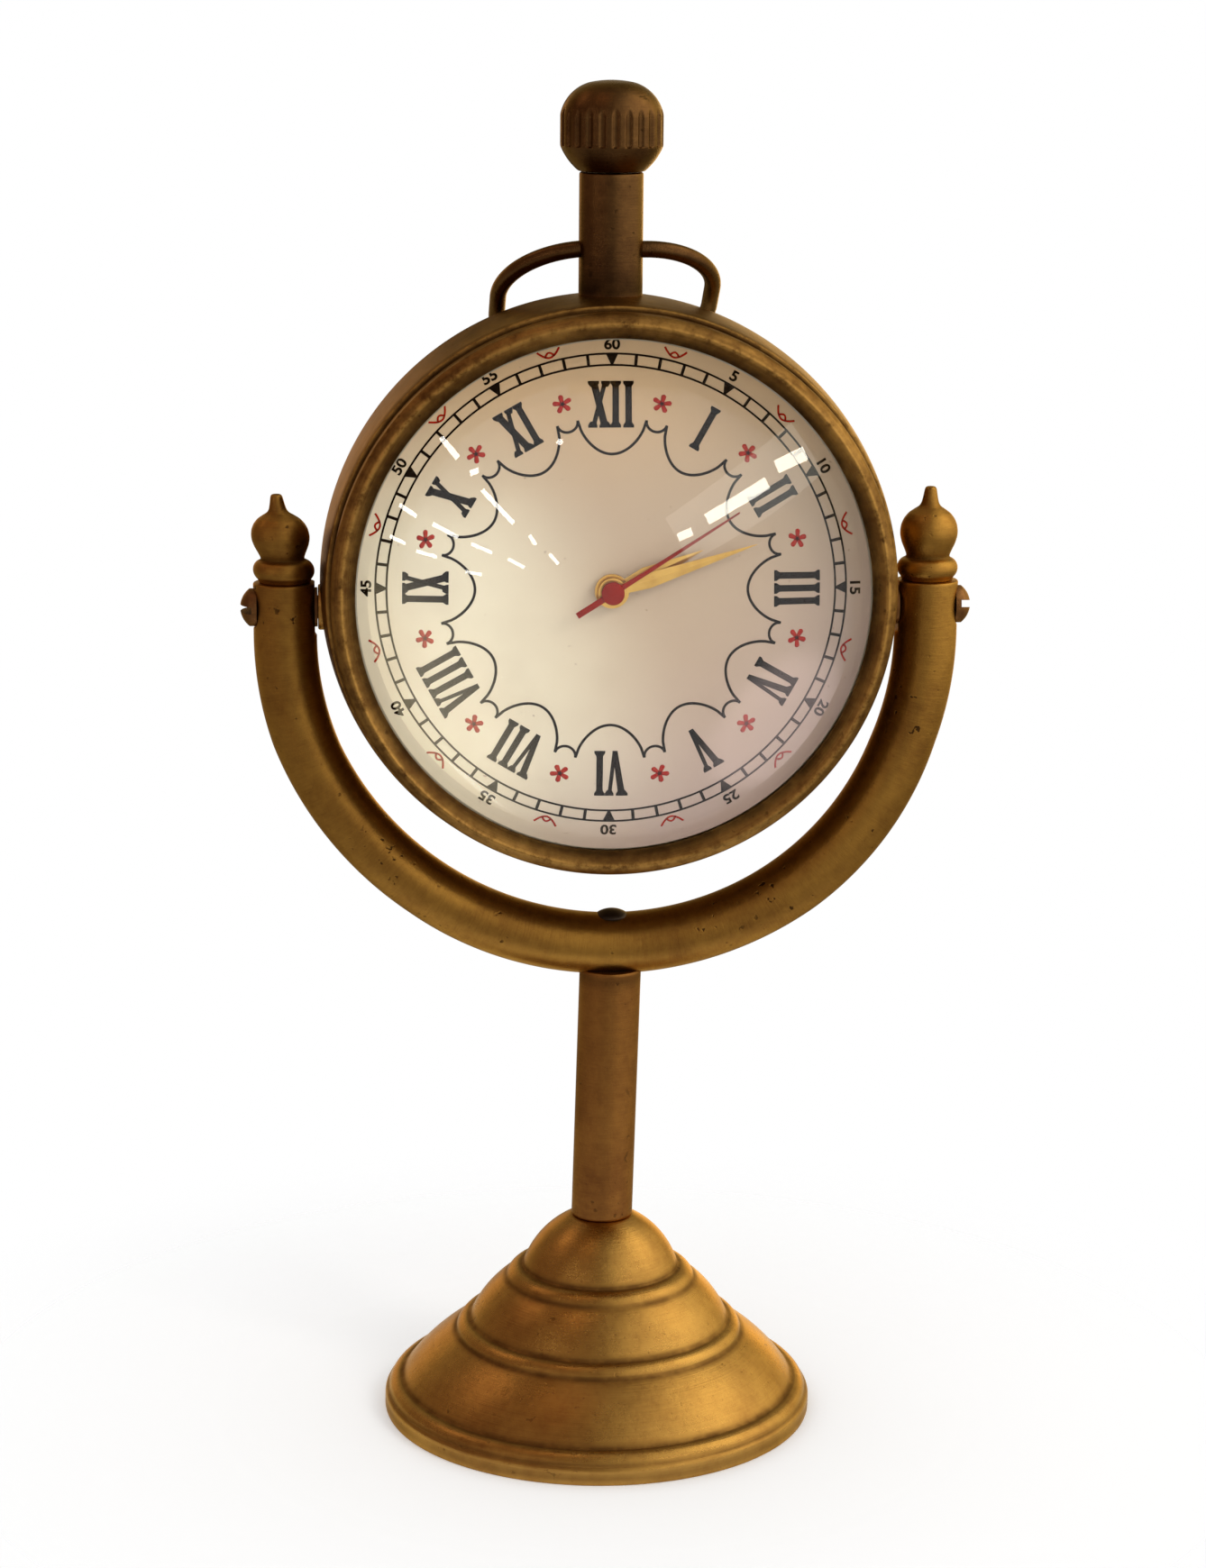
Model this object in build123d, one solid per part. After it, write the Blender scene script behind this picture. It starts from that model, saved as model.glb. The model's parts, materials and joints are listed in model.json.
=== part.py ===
from build123d import *
import math
import os

# Desk clock on a swivel stand, in millimetres.
# The origin is on the table under the middle of the base, +Z is up and the dial faces -Y.

# Clearances: radial ones for fixed and running fits, and the gap between faces that turn on each other
SEAT_FIT = 0.02
RUN_FIT = 0.06
FACE_GAP = 0.05

# Turned base: a plain rim and three bells, each with a bead at its foot
BASE_D = 56.4
BASE_WALL = 2.0
RIM_H = 2.1
RIM_CHAMFER = 0.45
LOW_BEAD_W = 1.8
LOW_BEAD_H = 1.4
LOW_BELL_H = 6.6
MID_BEAD_W = 1.75
MID_BEAD_H = 1.55
MID_BELL_W = 4.7
MID_BELL_H = 5.75
TOP_BEAD_W = 2.15
TOP_BEAD_H = 1.5
TOP_BELL_D = 20.6
TOP_BELL_H = 7.05
BEAD_BULGE = 0.45
BELL_BULGE = 0.5
TOP_BELL_BULGE = 1.0
SEAT_WALL = 2.5

# Pillar with a stud below and a rivet above
ROD_D = 8.0
PILLAR_L = 33.8
STUD_D = 5.0
STUD_END_L = 0.9
BASE_WASHER_D = 10.0
BASE_WASHER_T = 1.0
BASE_NUT_FLATS = 8.0
BASE_NUT_H = 4.0
HOLLOW_ROOM = 0.9
RIVET_D = 3.0
RIVET_L = 17.0
RIVET_HEAD_D = 4.4
RIVET_HEAD_H = 1.1
RIVET_RIM_H = 0.35
RIVET_SPOT_DEPTH = 0.5
SADDLE_DEPTH = 0.8

# Yoke of round rod
ARM_RISE = 3.6
ARM_END_L = 3.2
ARM_FLAT_DEPTH = 0.25
ARM_FLAT_BELOW = 3.4

# Finials
FINIAL_SPIGOT_D = 4.6
FINIAL_SPIGOT_L = 6.0
FINIAL_FOOT_D = 6.6
FINIAL_FOOT_H = 0.5
COLLAR_D = 7.8
COLLAR_H = 2.1
FINIAL_NECK_D = 5.1
FINIAL_NECK_H = 0.6
BALL_D = 7.2
BALL_H = 6.2
TIP_FOOT_D = 2.6
TIP_D = 1.4
TIP_H = 2.15

# Pivot screws and washers, on a line a little below the middle of the case
PIVOT_D = 3.0
PIVOT_HEAD_D = 5.0
PIVOT_HEAD_H = 2.1
PIVOT_RIM_H = 0.9
PIVOT_SPOT_DEPTH = 0.5
SLOT_W = 0.9
SLOT_DEPTH = 1.2
LEFT_SLOT_TURN = 35.0
RIGHT_SLOT_TURN = 90.0
PIVOT_BITE = 3.2
PIVOT_WASHER_D = 5.0
PIVOT_WASHER_T = 0.35
BOSS_D = 5.8
BOSS_H = 0.25
PIVOT_DROP = 3.0

# Case band: a barrel with a ledge for the dial and a thin collar in front for the bezel
CASE_D = 73.0
CASE_DEPTH = 18.0
CASE_EDGE_DROP = 0.7
CASE_WALL = 3.5
DIAL_SEAT_TO_STEM = 3.0
LEDGE_W = 2.5
LEDGE_T = 1.5
COLLAR_WALL = 0.95

# Bezel and domed crystal
BEZEL_SETBACK = 1.3
BEZEL_LIP_W = 0.85
BEZEL_LIP_T = 0.55
BEZEL_CREST_INSET = 1.3
BEZEL_CREST_H = 1.9
BEZEL_SHOULDER_H = 0.6
BEZEL_CREST_BULGE = 0.3
BEZEL_SLOPE_BULGE = 0.14
CRYSTAL_SEAT_DEPTH = 0.5
CRYSTAL_RIM_H = 3.2
CRYSTAL_FIT = 0.2
CRYSTAL_CURVE_R = 50.0

# Dial and the ring that keeps the crystal off it
DIAL_T = 0.5
DIAL_FIT = 0.3
DIAL_HOLE_D = 2.8
SPACER_WALL = 1.1

# Back cover
BACK_COVER_STEP = 0.2
BACK_FLANGE_T = 1.2
BACK_DOME_H = 1.4
BACK_SKIRT_H = 3.5
BACK_SKIRT_WALL = 1.2
BACK_EDGE_R = 0.8

# Neck, crown and stem
NECK_D = 8.0
NECK_L = 15.5
NECK_SINK = 0.5
NECK_SPIGOT_D = 5.0
STEM_D = 1.6
STEM_BORE_FIT = 0.2
CROWN_GAP = 0.1
CROWN_D = 12.8
CROWN_FOOT_D = 8.2
CROWN_TAPER_H = 3.1
CROWN_TAPER_BULGE = 0.25
CROWN_BAND_H = 3.8
CROWN_SHOULDER_H = 3.9
CROWN_CAP_D = 5.6
CROWN_CAP_H = 0.3
CROWN_SHOULDER_BULGE = 0.75
CROWN_BORE_L = 5.5
FLUTES = 24
FLUTE_D = 1.1
FLUTE_DEPTH = 0.25
CROWN_TRAVEL = 1.2

# Wire bow
BOW_WIRE_D = 2.1
BOW_W = 29.4
BOW_CORNER_R = 10.3
BOW_SIDE_L = 4.0
BOW_PIN_L = 1.6
BOW_PIVOT_H = 6.0
BOW_REST_GAP = 0.3

# Hands, clockwise from twelve in degrees at rest
HOUR_ANGLE = 66.0
MINUTE_ANGLE = 72.0
SECOND_ANGLE = 57.6
HAND_T = 0.2
HAND_STEP = 0.7
HAND_BOSS_T = 0.35
HOUR_HAND_L = 10.8
HOUR_HAND_W = 1.9
HOUR_BOSS_D = 3.7
MINUTE_HAND_L = 16.8
MINUTE_HAND_W = 1.7
MINUTE_BOSS_D = 3.1
HAND_ROOT_W = 0.8
HAND_WIDEST = 4.0
SECOND_HAND_L = 16.6
SECOND_TAIL_L = 4.6
SECOND_TAIL_W = 0.65
SECOND_TIP_W = 0.2
SECOND_BOSS_D = 2.5

# Movement plates
MOVEMENT_D = 30.0
MOVEMENT_FIT = 0.1
DIAL_GAP = 0.4
PLATE_T = 4.6
FLANGE_W = 2.2
FLANGE_T = 0.6
RING_T = 2.0
RECESS_DEPTH = 1.4
RECESS_ROOM = 0.4
TRAIN_ROOM = 2.6
BRIDGE_D = 29.0
BRIDGE_T = 0.8
BRIDGE_CHORD = 8.6
POST_D = 2.4
LEFT_POST_REACH = 12.8
LEFT_POST_TURN = 169.0
LOW_POST_REACH = 13.2
LOW_POST_TURN = 230.0
RIGHT_POST_REACH = 12.6
RIGHT_POST_TURN = 339.0
STAKE_D = 0.8
ARBOR_D = 0.5
ARBOR_SEAT_L = 0.5

# Small screws of the movement and of its ring
SCREW_D = 1.16
SCREW_HEAD_D = 2.2
SCREW_HEAD_H = 0.6
SCREW_L = 2.3
RING_SCREWS = 3
RING_SCREW_TURN = 30.0

# Tooth counts: rotor to step wheel to second wheel to third wheel to centre wheel
ROTOR_TEETH = 6
STEP_TEETH = 36
STEP_PINION_TEETH = 8
SECOND_TEETH = 40
SECOND_PINION_TEETH = 8
THIRD_TEETH = 60
THIRD_PINION_TEETH = 8
CENTRE_TEETH = 64
# Motion work: cannon pinion to minute wheel to hour wheel, with the setting wheel on the minute wheel
CANNON_TEETH = 12
MINUTE_TEETH = 36
MINUTE_PINION_TEETH = 10
HOUR_TEETH = 40
SETTING_TEETH = 24

# Distances between the axes of the train and the direction of each, anticlockwise from +X
THIRD_REACH = 6.12
THIRD_TURN = 200.0
STEP_REACH = 6.12
STEP_TURN = 20.0
ROTOR_REACH = 3.15
ROTOR_TURN = 75.0
MINUTE_REACH = 4.8
SETTING_MODULE = 0.2
SETTING_UP = 10.4
TOOTH_TIP_SHARE = 0.21
TOOTH_ROOT_SHARE = 0.63
ADDENDUM_MODULES = 0.9
DEDENDUM_MODULES = 1.2
WHEEL_T = 0.3
PINION_T = 0.5

# Levels of the wheels behind the plate and in the recess in front of it
CENTRE_LEVEL = 0.25
SECOND_LEVEL = 0.9
THIRD_LEVEL = 1.6
MOTION_LEVEL = 0.15
HOUR_LEVEL = 0.8

# Pipes on the hand axis, from the inside out
CENTRE_PIPE_WALL = 0.2
CANNON_PIPE_WALL = 0.23
HOUR_PIPE_WALL = 0.3
PIPE_FIT = 0.03

# Stepping motor, battery and circuit
MAGNET_D = 1.8
MAGNET_LEVEL = 0.3
STATOR_T = 1.1
STATOR_GAP = 0.25
STATOR_W = 3.4
COIL_REACH = 11.0
COIL_TURN = 110.0
COIL_L = 7.0
COIL_D = 2.4
CORE_L = 13.6
CORE_W = 1.6
CORE_T = 0.4
BATTERY_D = 7.9
BATTERY_T = 2.1
BATTERY_REACH = 9.85
BATTERY_TURN = 290.0
CLIP_W = 1.8
CLIP_T = 0.3
CLIP_REACH = 5.9
BOARD_W = 8.2
BOARD_H = 11.0
BOARD_T = 0.4
BOARD_LEFT = 9.9
BOARD_LOW = 7.4
CHIP_W = 3.0
CHIP_T = 0.8
CAN_D = 1.5
CAN_L = 5.0

# Setting work on the stem
SLIDING_PINION_D = 2.2
SLIDING_PINION_L = 1.6
SLIDING_PINION_UP = 5.6
SLIDING_NOTCHES = 4
SLIDING_NOTCH_W = 0.25
SLIDING_NOTCH_H = 0.25
SLIDE_UP = 12.2
SLIDE_T = 0.5
SLIDE_W = 4.4
SLIDE_FRONT = 0.7
SLIDE_BACK = 1.7
STEM_GROOVE_D = 1.0
STEM_TAIL_UP = 5.2
POCKET_ROOM = 0.15

# Base, pillar and yoke levels
base_r = BASE_D / 2
rod_r = ROD_D / 2
top_bell_r = TOP_BELL_D / 2
top_bead_r = top_bell_r + TOP_BEAD_W
mid_bell_r = top_bead_r + MID_BELL_W
low_bead = (base_r - RIM_CHAMFER, RIM_H + RIM_CHAMFER)
low_bell = (low_bead[0] - LOW_BEAD_W, low_bead[1] + LOW_BEAD_H)
mid_bead = (mid_bell_r + MID_BEAD_W, low_bell[1] + LOW_BELL_H)
mid_bell = (mid_bell_r, mid_bead[1] + MID_BEAD_H)
top_bead = (top_bead_r, mid_bell[1] + MID_BELL_H)
top_bell = (top_bell_r, top_bead[1] + TOP_BEAD_H)
base_top = top_bell[1] + TOP_BELL_H
hollow_top = base_top - SEAT_WALL
washer_low = hollow_top - BASE_WASHER_T
nut_low = washer_low - BASE_NUT_H
pillar_top = base_top + PILLAR_L
yoke_low = pillar_top + rod_r - SADDLE_DEPTH

# Case radii, and the yoke's arms that stand just outside the case
case_r = CASE_D / 2
edge_r = case_r - CASE_EDGE_DROP
bore_r = case_r - CASE_WALL
dial_d = 2 * (bore_r - DIAL_FIT)
bezel_r = case_r - BEZEL_SETBACK
opening_r = bore_r - BEZEL_LIP_W
cover_r = edge_r - BACK_COVER_STEP
boss_x = case_r + BOSS_H
flat_x = boss_x + FACE_GAP + PIVOT_WASHER_T
arm_x = flat_x + rod_r - ARM_FLAT_DEPTH
bend_z = yoke_low + arm_x
pivot_z = bend_z + ARM_RISE
yoke_top = pivot_z + ARM_END_L
case_z = pivot_z + PIVOT_DROP
spot_x = arm_x + rod_r - PIVOT_SPOT_DEPTH
screw_tip_x = boss_x - PIVOT_BITE

# Levels through the case, front to back along Y
case_front = -CASE_DEPTH / 2
case_back = CASE_DEPTH / 2
dial_back = -DIAL_SEAT_TO_STEM
dial_front = dial_back - DIAL_T
ledge_back = dial_back + LEDGE_T
ring_back = ledge_back + RING_T
crystal_back = case_front + CRYSTAL_SEAT_DEPTH
crystal_shoulder = crystal_back - CRYSTAL_RIM_H
lip_back = crystal_shoulder - FACE_GAP
dome_r = opening_r - CRYSTAL_FIT
dome_sag = CRYSTAL_CURVE_R - math.sqrt(CRYSTAL_CURVE_R ** 2 - dome_r ** 2)
crystal_front = crystal_shoulder - dome_sag
collar_r = bore_r + COLLAR_WALL

# Levels of the neck and crown
neck_low = case_z + case_r - NECK_SINK
neck_top = neck_low + NECK_L
neck_r = NECK_D / 2
crown_low = neck_top + CROWN_GAP
stem_r = STEM_D / 2
stem_bore_r = stem_r + STEM_BORE_FIT
bow_z = neck_low + BOW_PIVOT_H
bow_r = BOW_WIRE_D / 2
bow_half = BOW_W / 2 - bow_r

# Levels of the movement, front to back along Y
plate_front = dial_back + DIAL_GAP
plate_back = plate_front + PLATE_T
recess_back = plate_front + RECESS_DEPTH
bridge_front = plate_back + TRAIN_ROOM
bridge_back = bridge_front + BRIDGE_T
movement_r = MOVEMENT_D / 2
flange_r = movement_r + FLANGE_W
centre_y = plate_back + CENTRE_LEVEL
second_y = plate_back + SECOND_LEVEL
third_y = plate_back + THIRD_LEVEL
motion_y = recess_back - MOTION_LEVEL
hour_y = recess_back - HOUR_LEVEL
hour_hand_y = dial_front - HAND_STEP
minute_hand_y = hour_hand_y - HAND_STEP
second_hand_y = minute_hand_y - HAND_STEP
arbor_r = ARBOR_D / 2
centre_pipe_in = arbor_r + PIPE_FIT
centre_pipe_r = centre_pipe_in + CENTRE_PIPE_WALL
cannon_pipe_in = centre_pipe_r + PIPE_FIT
cannon_pipe_r = cannon_pipe_in + CANNON_PIPE_WALL
hour_pipe_in = cannon_pipe_r + PIPE_FIT
hour_pipe_r = hour_pipe_in + HOUR_PIPE_WALL


def polar(reach, turn, start=(0.0, 0.0)):
    """Point of the dial plane at a reach and a turn, anticlockwise from +X, from a start point."""
    angle = math.radians(turn)
    return (start[0] + reach * math.cos(angle), start[1] + reach * math.sin(angle))


# Axes of the movement in the dial plane, x right and up, from the dial's centre
hub = (0.0, 0.0)
third_at = polar(THIRD_REACH, THIRD_TURN)
step_at = polar(STEP_REACH, STEP_TURN)
rotor_at = polar(ROTOR_REACH, ROTOR_TURN, step_at)
setting_at = (0.0, SETTING_UP)
setting_reach = SETTING_MODULE * (MINUTE_TEETH + SETTING_TEETH) / 2
minute_up = (MINUTE_REACH ** 2 - setting_reach ** 2 + SETTING_UP ** 2) / (2 * SETTING_UP)
minute_at = (math.sqrt(MINUTE_REACH ** 2 - minute_up ** 2), minute_up)
battery_at = polar(BATTERY_REACH, BATTERY_TURN)
clip_foot_at = (battery_at[0] + CLIP_REACH, battery_at[1])
coil_at = polar(COIL_REACH, COIL_TURN)
core_near_at = polar(CORE_L / 2 - CORE_W / 2, COIL_TURN - 90, coil_at)
core_far_at = polar(CORE_L / 2 - CORE_W / 2, COIL_TURN + 90, coil_at)
post_spots = (
    polar(LEFT_POST_REACH, LEFT_POST_TURN),
    polar(LOW_POST_REACH, LOW_POST_TURN),
    polar(RIGHT_POST_REACH, RIGHT_POST_TURN),
)
flange_spots = (polar(movement_r + FLANGE_W / 2, 0.0), polar(movement_r + FLANGE_W / 2, 180.0))
ring_screw_reach = bore_r - LEDGE_W / 2
ring_screw_turns = [RING_SCREW_TURN + 360 / RING_SCREWS * i for i in range(RING_SCREWS)]
ring_screw_spots = [polar(ring_screw_reach, turn) for turn in ring_screw_turns]


def bulged(start, end, bulge):
    """Arc from start to end that bulges to the right of the way from one to the other."""
    run = end[0] - start[0]
    rise = end[1] - start[1]
    span = math.hypot(run, rise)
    middle = ((start[0] + end[0]) / 2 + bulge * rise / span, (start[1] + end[1]) / 2 - bulge * run / span)
    return ThreePointArc(start, middle, end)


def domed(edge, tip):
    """Arc of a sphere centred on the turning axis, from an edge to the tip on the axis."""
    rise = tip[1] - edge[1]
    radius = (edge[0] ** 2 + rise ** 2) / (2 * rise)
    half_angle = math.atan2(edge[0], abs(radius) - abs(rise)) / 2
    middle = (abs(radius) * math.sin(half_angle), tip[1] - radius * (1 - math.cos(half_angle)))
    return ThreePointArc(edge, middle, tip)


def outline(*lines):
    """Face bounded by lines that meet end to end."""
    edges = []
    for line in lines:
        edges.extend(line.edges())
    return make_face(edges)


def turned_z(*lines):
    """Solid turned about the Z axis from a half section given as radius and height."""
    return revolve(Plane.XZ * outline(*lines), Axis.Z)


def turned_y(*lines):
    """Solid turned about the case axis from a half section given as radius and Y."""
    return Pos(0, 0, case_z) * revolve(outline(*lines), Axis.Y)


def rod_z(diameter, low, high, x=0.0):
    """Upright cylinder between two heights."""
    return Pos(x, 0, (low + high) / 2) * Cylinder(diameter / 2, high - low)


def rod_x(diameter, left, right, z):
    """Cylinder along X between two places, in the plane of the stem."""
    return Pos((left + right) / 2, 0, z) * Rot(0, 90, 0) * Cylinder(diameter / 2, right - left)


def disc(diameter, front, back, spot=hub):
    """Cylinder along Y between two levels, at a spot of the dial plane."""
    middle = Pos(spot[0], (front + back) / 2, case_z + spot[1])
    return middle * Rot(90, 0, 0) * Cylinder(diameter / 2, back - front)


def flat(face, front, back, spot=hub, turn=0.0):
    """Plate between two levels from a face drawn x right and y up, turned clockwise about its spot."""
    plate = Plane.XZ * extrude(face, back - front)
    return Pos(spot[0], back, case_z + spot[1]) * Rot(0, turn, 0) * plate


def gear(teeth, reach, front, back, spot=hub, phase=0.0):
    """Spur wheel whose teeth are trapezoids, with a tooth at the phase angle, anticlockwise from +X."""
    module = 2 * reach / teeth
    pitch = 2 * math.pi / teeth
    root = (reach - DEDENDUM_MODULES * module, pitch * TOOTH_ROOT_SHARE / 2)
    tip = (reach + ADDENDUM_MODULES * module, pitch * TOOTH_TIP_SHARE / 2)
    corners = []
    for i in range(teeth):
        middle = math.radians(phase) + i * pitch
        for (radius, spread), side in ((root, -1), (tip, -1), (tip, 1), (root, 1)):
            angle = middle + side * spread
            corners.append((radius * math.cos(angle), radius * math.sin(angle)))
    return flat(make_face(Polyline(*corners, close=True)), front, back, spot)


def mesh_reaches(distance, teeth, other_teeth):
    """Pitch radii of two wheels whose axes stand at a distance."""
    reach = distance * teeth / (teeth + other_teeth)
    return reach, distance - reach


def meshed_phase(teeth, phase, direction, other_teeth):
    """Phase of the wheel that lies in a direction from a wheel of a known phase and meshes with it."""
    return direction + 180 + 180 / other_teeth - (phase - direction) * teeth / other_teeth


def direction_of(start, end):
    """Direction from one spot to another, in degrees anticlockwise from +X."""
    return math.degrees(math.atan2(end[1] - start[1], end[0] - start[0]))


# Pitch radii, directions and levels that the wheels and plates share
third_pinion_reach, centre_reach = mesh_reaches(THIRD_REACH, THIRD_PINION_TEETH, CENTRE_TEETH)
third_reach, second_pinion_reach = mesh_reaches(THIRD_REACH, THIRD_TEETH, SECOND_PINION_TEETH)
step_pinion_reach, second_reach = mesh_reaches(STEP_REACH, STEP_PINION_TEETH, SECOND_TEETH)
step_reach, rotor_reach = mesh_reaches(ROTOR_REACH, STEP_TEETH, ROTOR_TEETH)
cannon_reach, minute_reach = mesh_reaches(MINUTE_REACH, CANNON_TEETH, MINUTE_TEETH)
minute_pinion_reach, hour_reach = mesh_reaches(MINUTE_REACH, MINUTE_PINION_TEETH, HOUR_TEETH)
setting_wheel_reach = setting_reach - minute_reach
minute_turn = direction_of(hub, minute_at)
setting_turn = direction_of(minute_at, setting_at)
minute_phase = meshed_phase(CANNON_TEETH, minute_turn, minute_turn, MINUTE_TEETH)
arbor_low = plate_back - ARBOR_SEAT_L
arbor_high = bridge_front + ARBOR_SEAT_L


def make_base():
    """Spun shell of three bells on a rim, open below, with a flat seat for the pillar on top."""
    seat = (rod_r, base_top)
    shell = turned_z(
        Polyline((0, base_top), (0, 0), (base_r, 0), (base_r, RIM_H), low_bead),
        bulged(low_bead, low_bell, BEAD_BULGE),
        bulged(low_bell, mid_bead, BELL_BULGE),
        bulged(mid_bead, mid_bell, BEAD_BULGE),
        bulged(mid_bell, top_bead, BELL_BULGE),
        bulged(top_bead, top_bell, BEAD_BULGE),
        bulged(top_bell, seat, TOP_BELL_BULGE),
        Line(seat, (0, base_top)),
    )
    inset = BASE_WALL * math.sqrt(0.5)
    grooves = [(spot[0] - inset, spot[1] - inset) for spot in (low_bell, mid_bell, top_bell)]
    roof_r = BASE_WASHER_D / 2 + HOLLOW_ROOM
    hollow = turned_z(
        Polyline(
            (0, 0), (base_r - BASE_WALL, 0), *grooves, (roof_r, hollow_top), (0, hollow_top), close=True
        )
    )
    return shell - hollow - rod_z(STUD_D + 2 * SEAT_FIT, hollow_top, base_top)


def make_base_washer():
    ring = rod_z(BASE_WASHER_D, washer_low, hollow_top)
    return ring - rod_z(STUD_D + 2 * SEAT_FIT, washer_low, hollow_top)


def make_base_nut():
    hexagon = extrude(RegularPolygon(BASE_NUT_FLATS / 2, 6, major_radius=False), BASE_NUT_H)
    return Pos(0, 0, nut_low) * hexagon - rod_z(STUD_D + 2 * SEAT_FIT, nut_low, washer_low)


def make_pillar():
    """Round pillar with a stud for the nut below and a bore for the rivet above."""
    pillar = rod_z(ROD_D, base_top, pillar_top) + rod_z(STUD_D, nut_low - STUD_END_L, base_top)
    rivet_low = yoke_low + rod_r - RIVET_SPOT_DEPTH - RIVET_L
    return pillar - rod_z(RIVET_D + 2 * SEAT_FIT, rivet_low, pillar_top)


def make_yoke():
    """U of round rod with bored ends, cross holes for the pivot screws and a notch over the pillar."""
    half_turn = ThreePointArc((-arm_x, bend_z), (0, yoke_low), (arm_x, bend_z))
    path = Plane.XZ * Wire(
        [Line((-arm_x, yoke_top), (-arm_x, bend_z)).edge(), half_turn.edge(),
         Line((arm_x, bend_z), (arm_x, yoke_top)).edge()]
    )
    yoke = sweep(Plane(origin=path @ 0, z_dir=path % 0) * Circle(rod_r), path)
    notch_low = yoke_low - ROD_D
    yoke -= rod_z(ROD_D + 2 * SEAT_FIT, notch_low, pillar_top)
    yoke -= rod_z(RIVET_D + 2 * SEAT_FIT, pillar_top, yoke_low + ROD_D)
    spot_z = yoke_low + rod_r - RIVET_SPOT_DEPTH
    yoke -= rod_z(RIVET_HEAD_D + 2 * SEAT_FIT, spot_z, yoke_low + ROD_D)
    flat_low = pivot_z - ARM_FLAT_BELOW
    yoke -= Pos(0, 0, (flat_low + yoke_top) / 2) * Box(2 * flat_x, ROD_D, yoke_top - flat_low)
    yoke -= rod_x(PIVOT_D + 2 * RUN_FIT, -arm_x - ROD_D, arm_x + ROD_D, pivot_z)
    for side in (-1, 1):
        spigot_low = yoke_top - FINIAL_SPIGOT_L - FACE_GAP
        yoke -= rod_z(FINIAL_SPIGOT_D + 2 * SEAT_FIT, spigot_low, yoke_top, side * arm_x)
        near, far = sorted((side * spot_x, side * (arm_x + ROD_D)))
        yoke -= rod_x(PIVOT_HEAD_D + 2 * RUN_FIT, near, far, pivot_z)
    return yoke


def make_yoke_rivet():
    """Rivet from the pillar's bore through the yoke, with a domed head in a shallow spot face."""
    head_low = yoke_low + rod_r - RIVET_SPOT_DEPTH
    shank_r = RIVET_D / 2
    head_r = RIVET_HEAD_D / 2
    low = head_low - RIVET_L
    return turned_z(
        Polyline((0, head_low + RIVET_HEAD_H), (0, low), (shank_r, low), (shank_r, head_low),
                 (head_r, head_low), (head_r, head_low + RIVET_RIM_H)),
        domed((head_r, head_low + RIVET_RIM_H), (0, head_low + RIVET_HEAD_H)),
    )


def make_finial(side):
    """Turned finial: collar, ball and tip over a spigot that the pivot screw passes through."""
    foot_r = FINIAL_FOOT_D / 2
    spigot_r = FINIAL_SPIGOT_D / 2
    neck = (FINIAL_NECK_D / 2, FINIAL_FOOT_H + COLLAR_H + FINIAL_NECK_H)
    ball_top = (TIP_FOOT_D / 2, neck[1] + BALL_H)
    tip_shoulder = (TIP_D / 2, ball_top[1] + TIP_H - TIP_D / 2)
    tip_top = (0, ball_top[1] + TIP_H)
    collar_low = (foot_r, FINIAL_FOOT_H)
    collar_top = (foot_r, FINIAL_FOOT_H + COLLAR_H)
    finial = turned_z(
        Polyline(tip_top, (0, -FINIAL_SPIGOT_L), (spigot_r, -FINIAL_SPIGOT_L), (spigot_r, 0),
                 (foot_r, 0), collar_low),
        ThreePointArc(collar_low, (COLLAR_D / 2, FINIAL_FOOT_H + COLLAR_H / 2), collar_top),
        Line(collar_top, neck),
        ThreePointArc(neck, (BALL_D / 2, neck[1] + BALL_H / 2), ball_top),
        Line(ball_top, tip_shoulder),
        domed(tip_shoulder, tip_top),
    )
    hole = rod_x(PIVOT_D + 2 * RUN_FIT, -ROD_D, ROD_D, pivot_z - yoke_top)
    return Pos(side * arm_x, 0, yoke_top) * (finial - hole)


def make_pivot_screw(side):
    """Slotted round-head screw that turns in the yoke's arm and holds in the case's boss."""
    shank_r = PIVOT_D / 2
    head_r = PIVOT_HEAD_D / 2
    shank_l = spot_x + FACE_GAP - screw_tip_x
    screw = turned_z(
        Polyline((0, PIVOT_HEAD_H), (0, -shank_l), (shank_r, -shank_l), (shank_r, 0),
                 (head_r, 0), (head_r, PIVOT_RIM_H)),
        domed((head_r, PIVOT_RIM_H), (0, PIVOT_HEAD_H)),
    )
    turn = RIGHT_SLOT_TURN if side > 0 else LEFT_SLOT_TURN
    slot = Pos(0, 0, PIVOT_HEAD_H) * Rot(0, 0, turn) * Box(PIVOT_HEAD_D, SLOT_W, 2 * SLOT_DEPTH)
    return Pos(side * (spot_x + FACE_GAP), 0, pivot_z) * Rot(0, side * 90, 0) * (screw - slot)


def make_pivot_washer(side):
    near, far = sorted((side * (boss_x + FACE_GAP), side * flat_x))
    return rod_x(PIVOT_WASHER_D, near, far, pivot_z) - rod_x(PIVOT_D + 2 * RUN_FIT, near, far, pivot_z)


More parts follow.
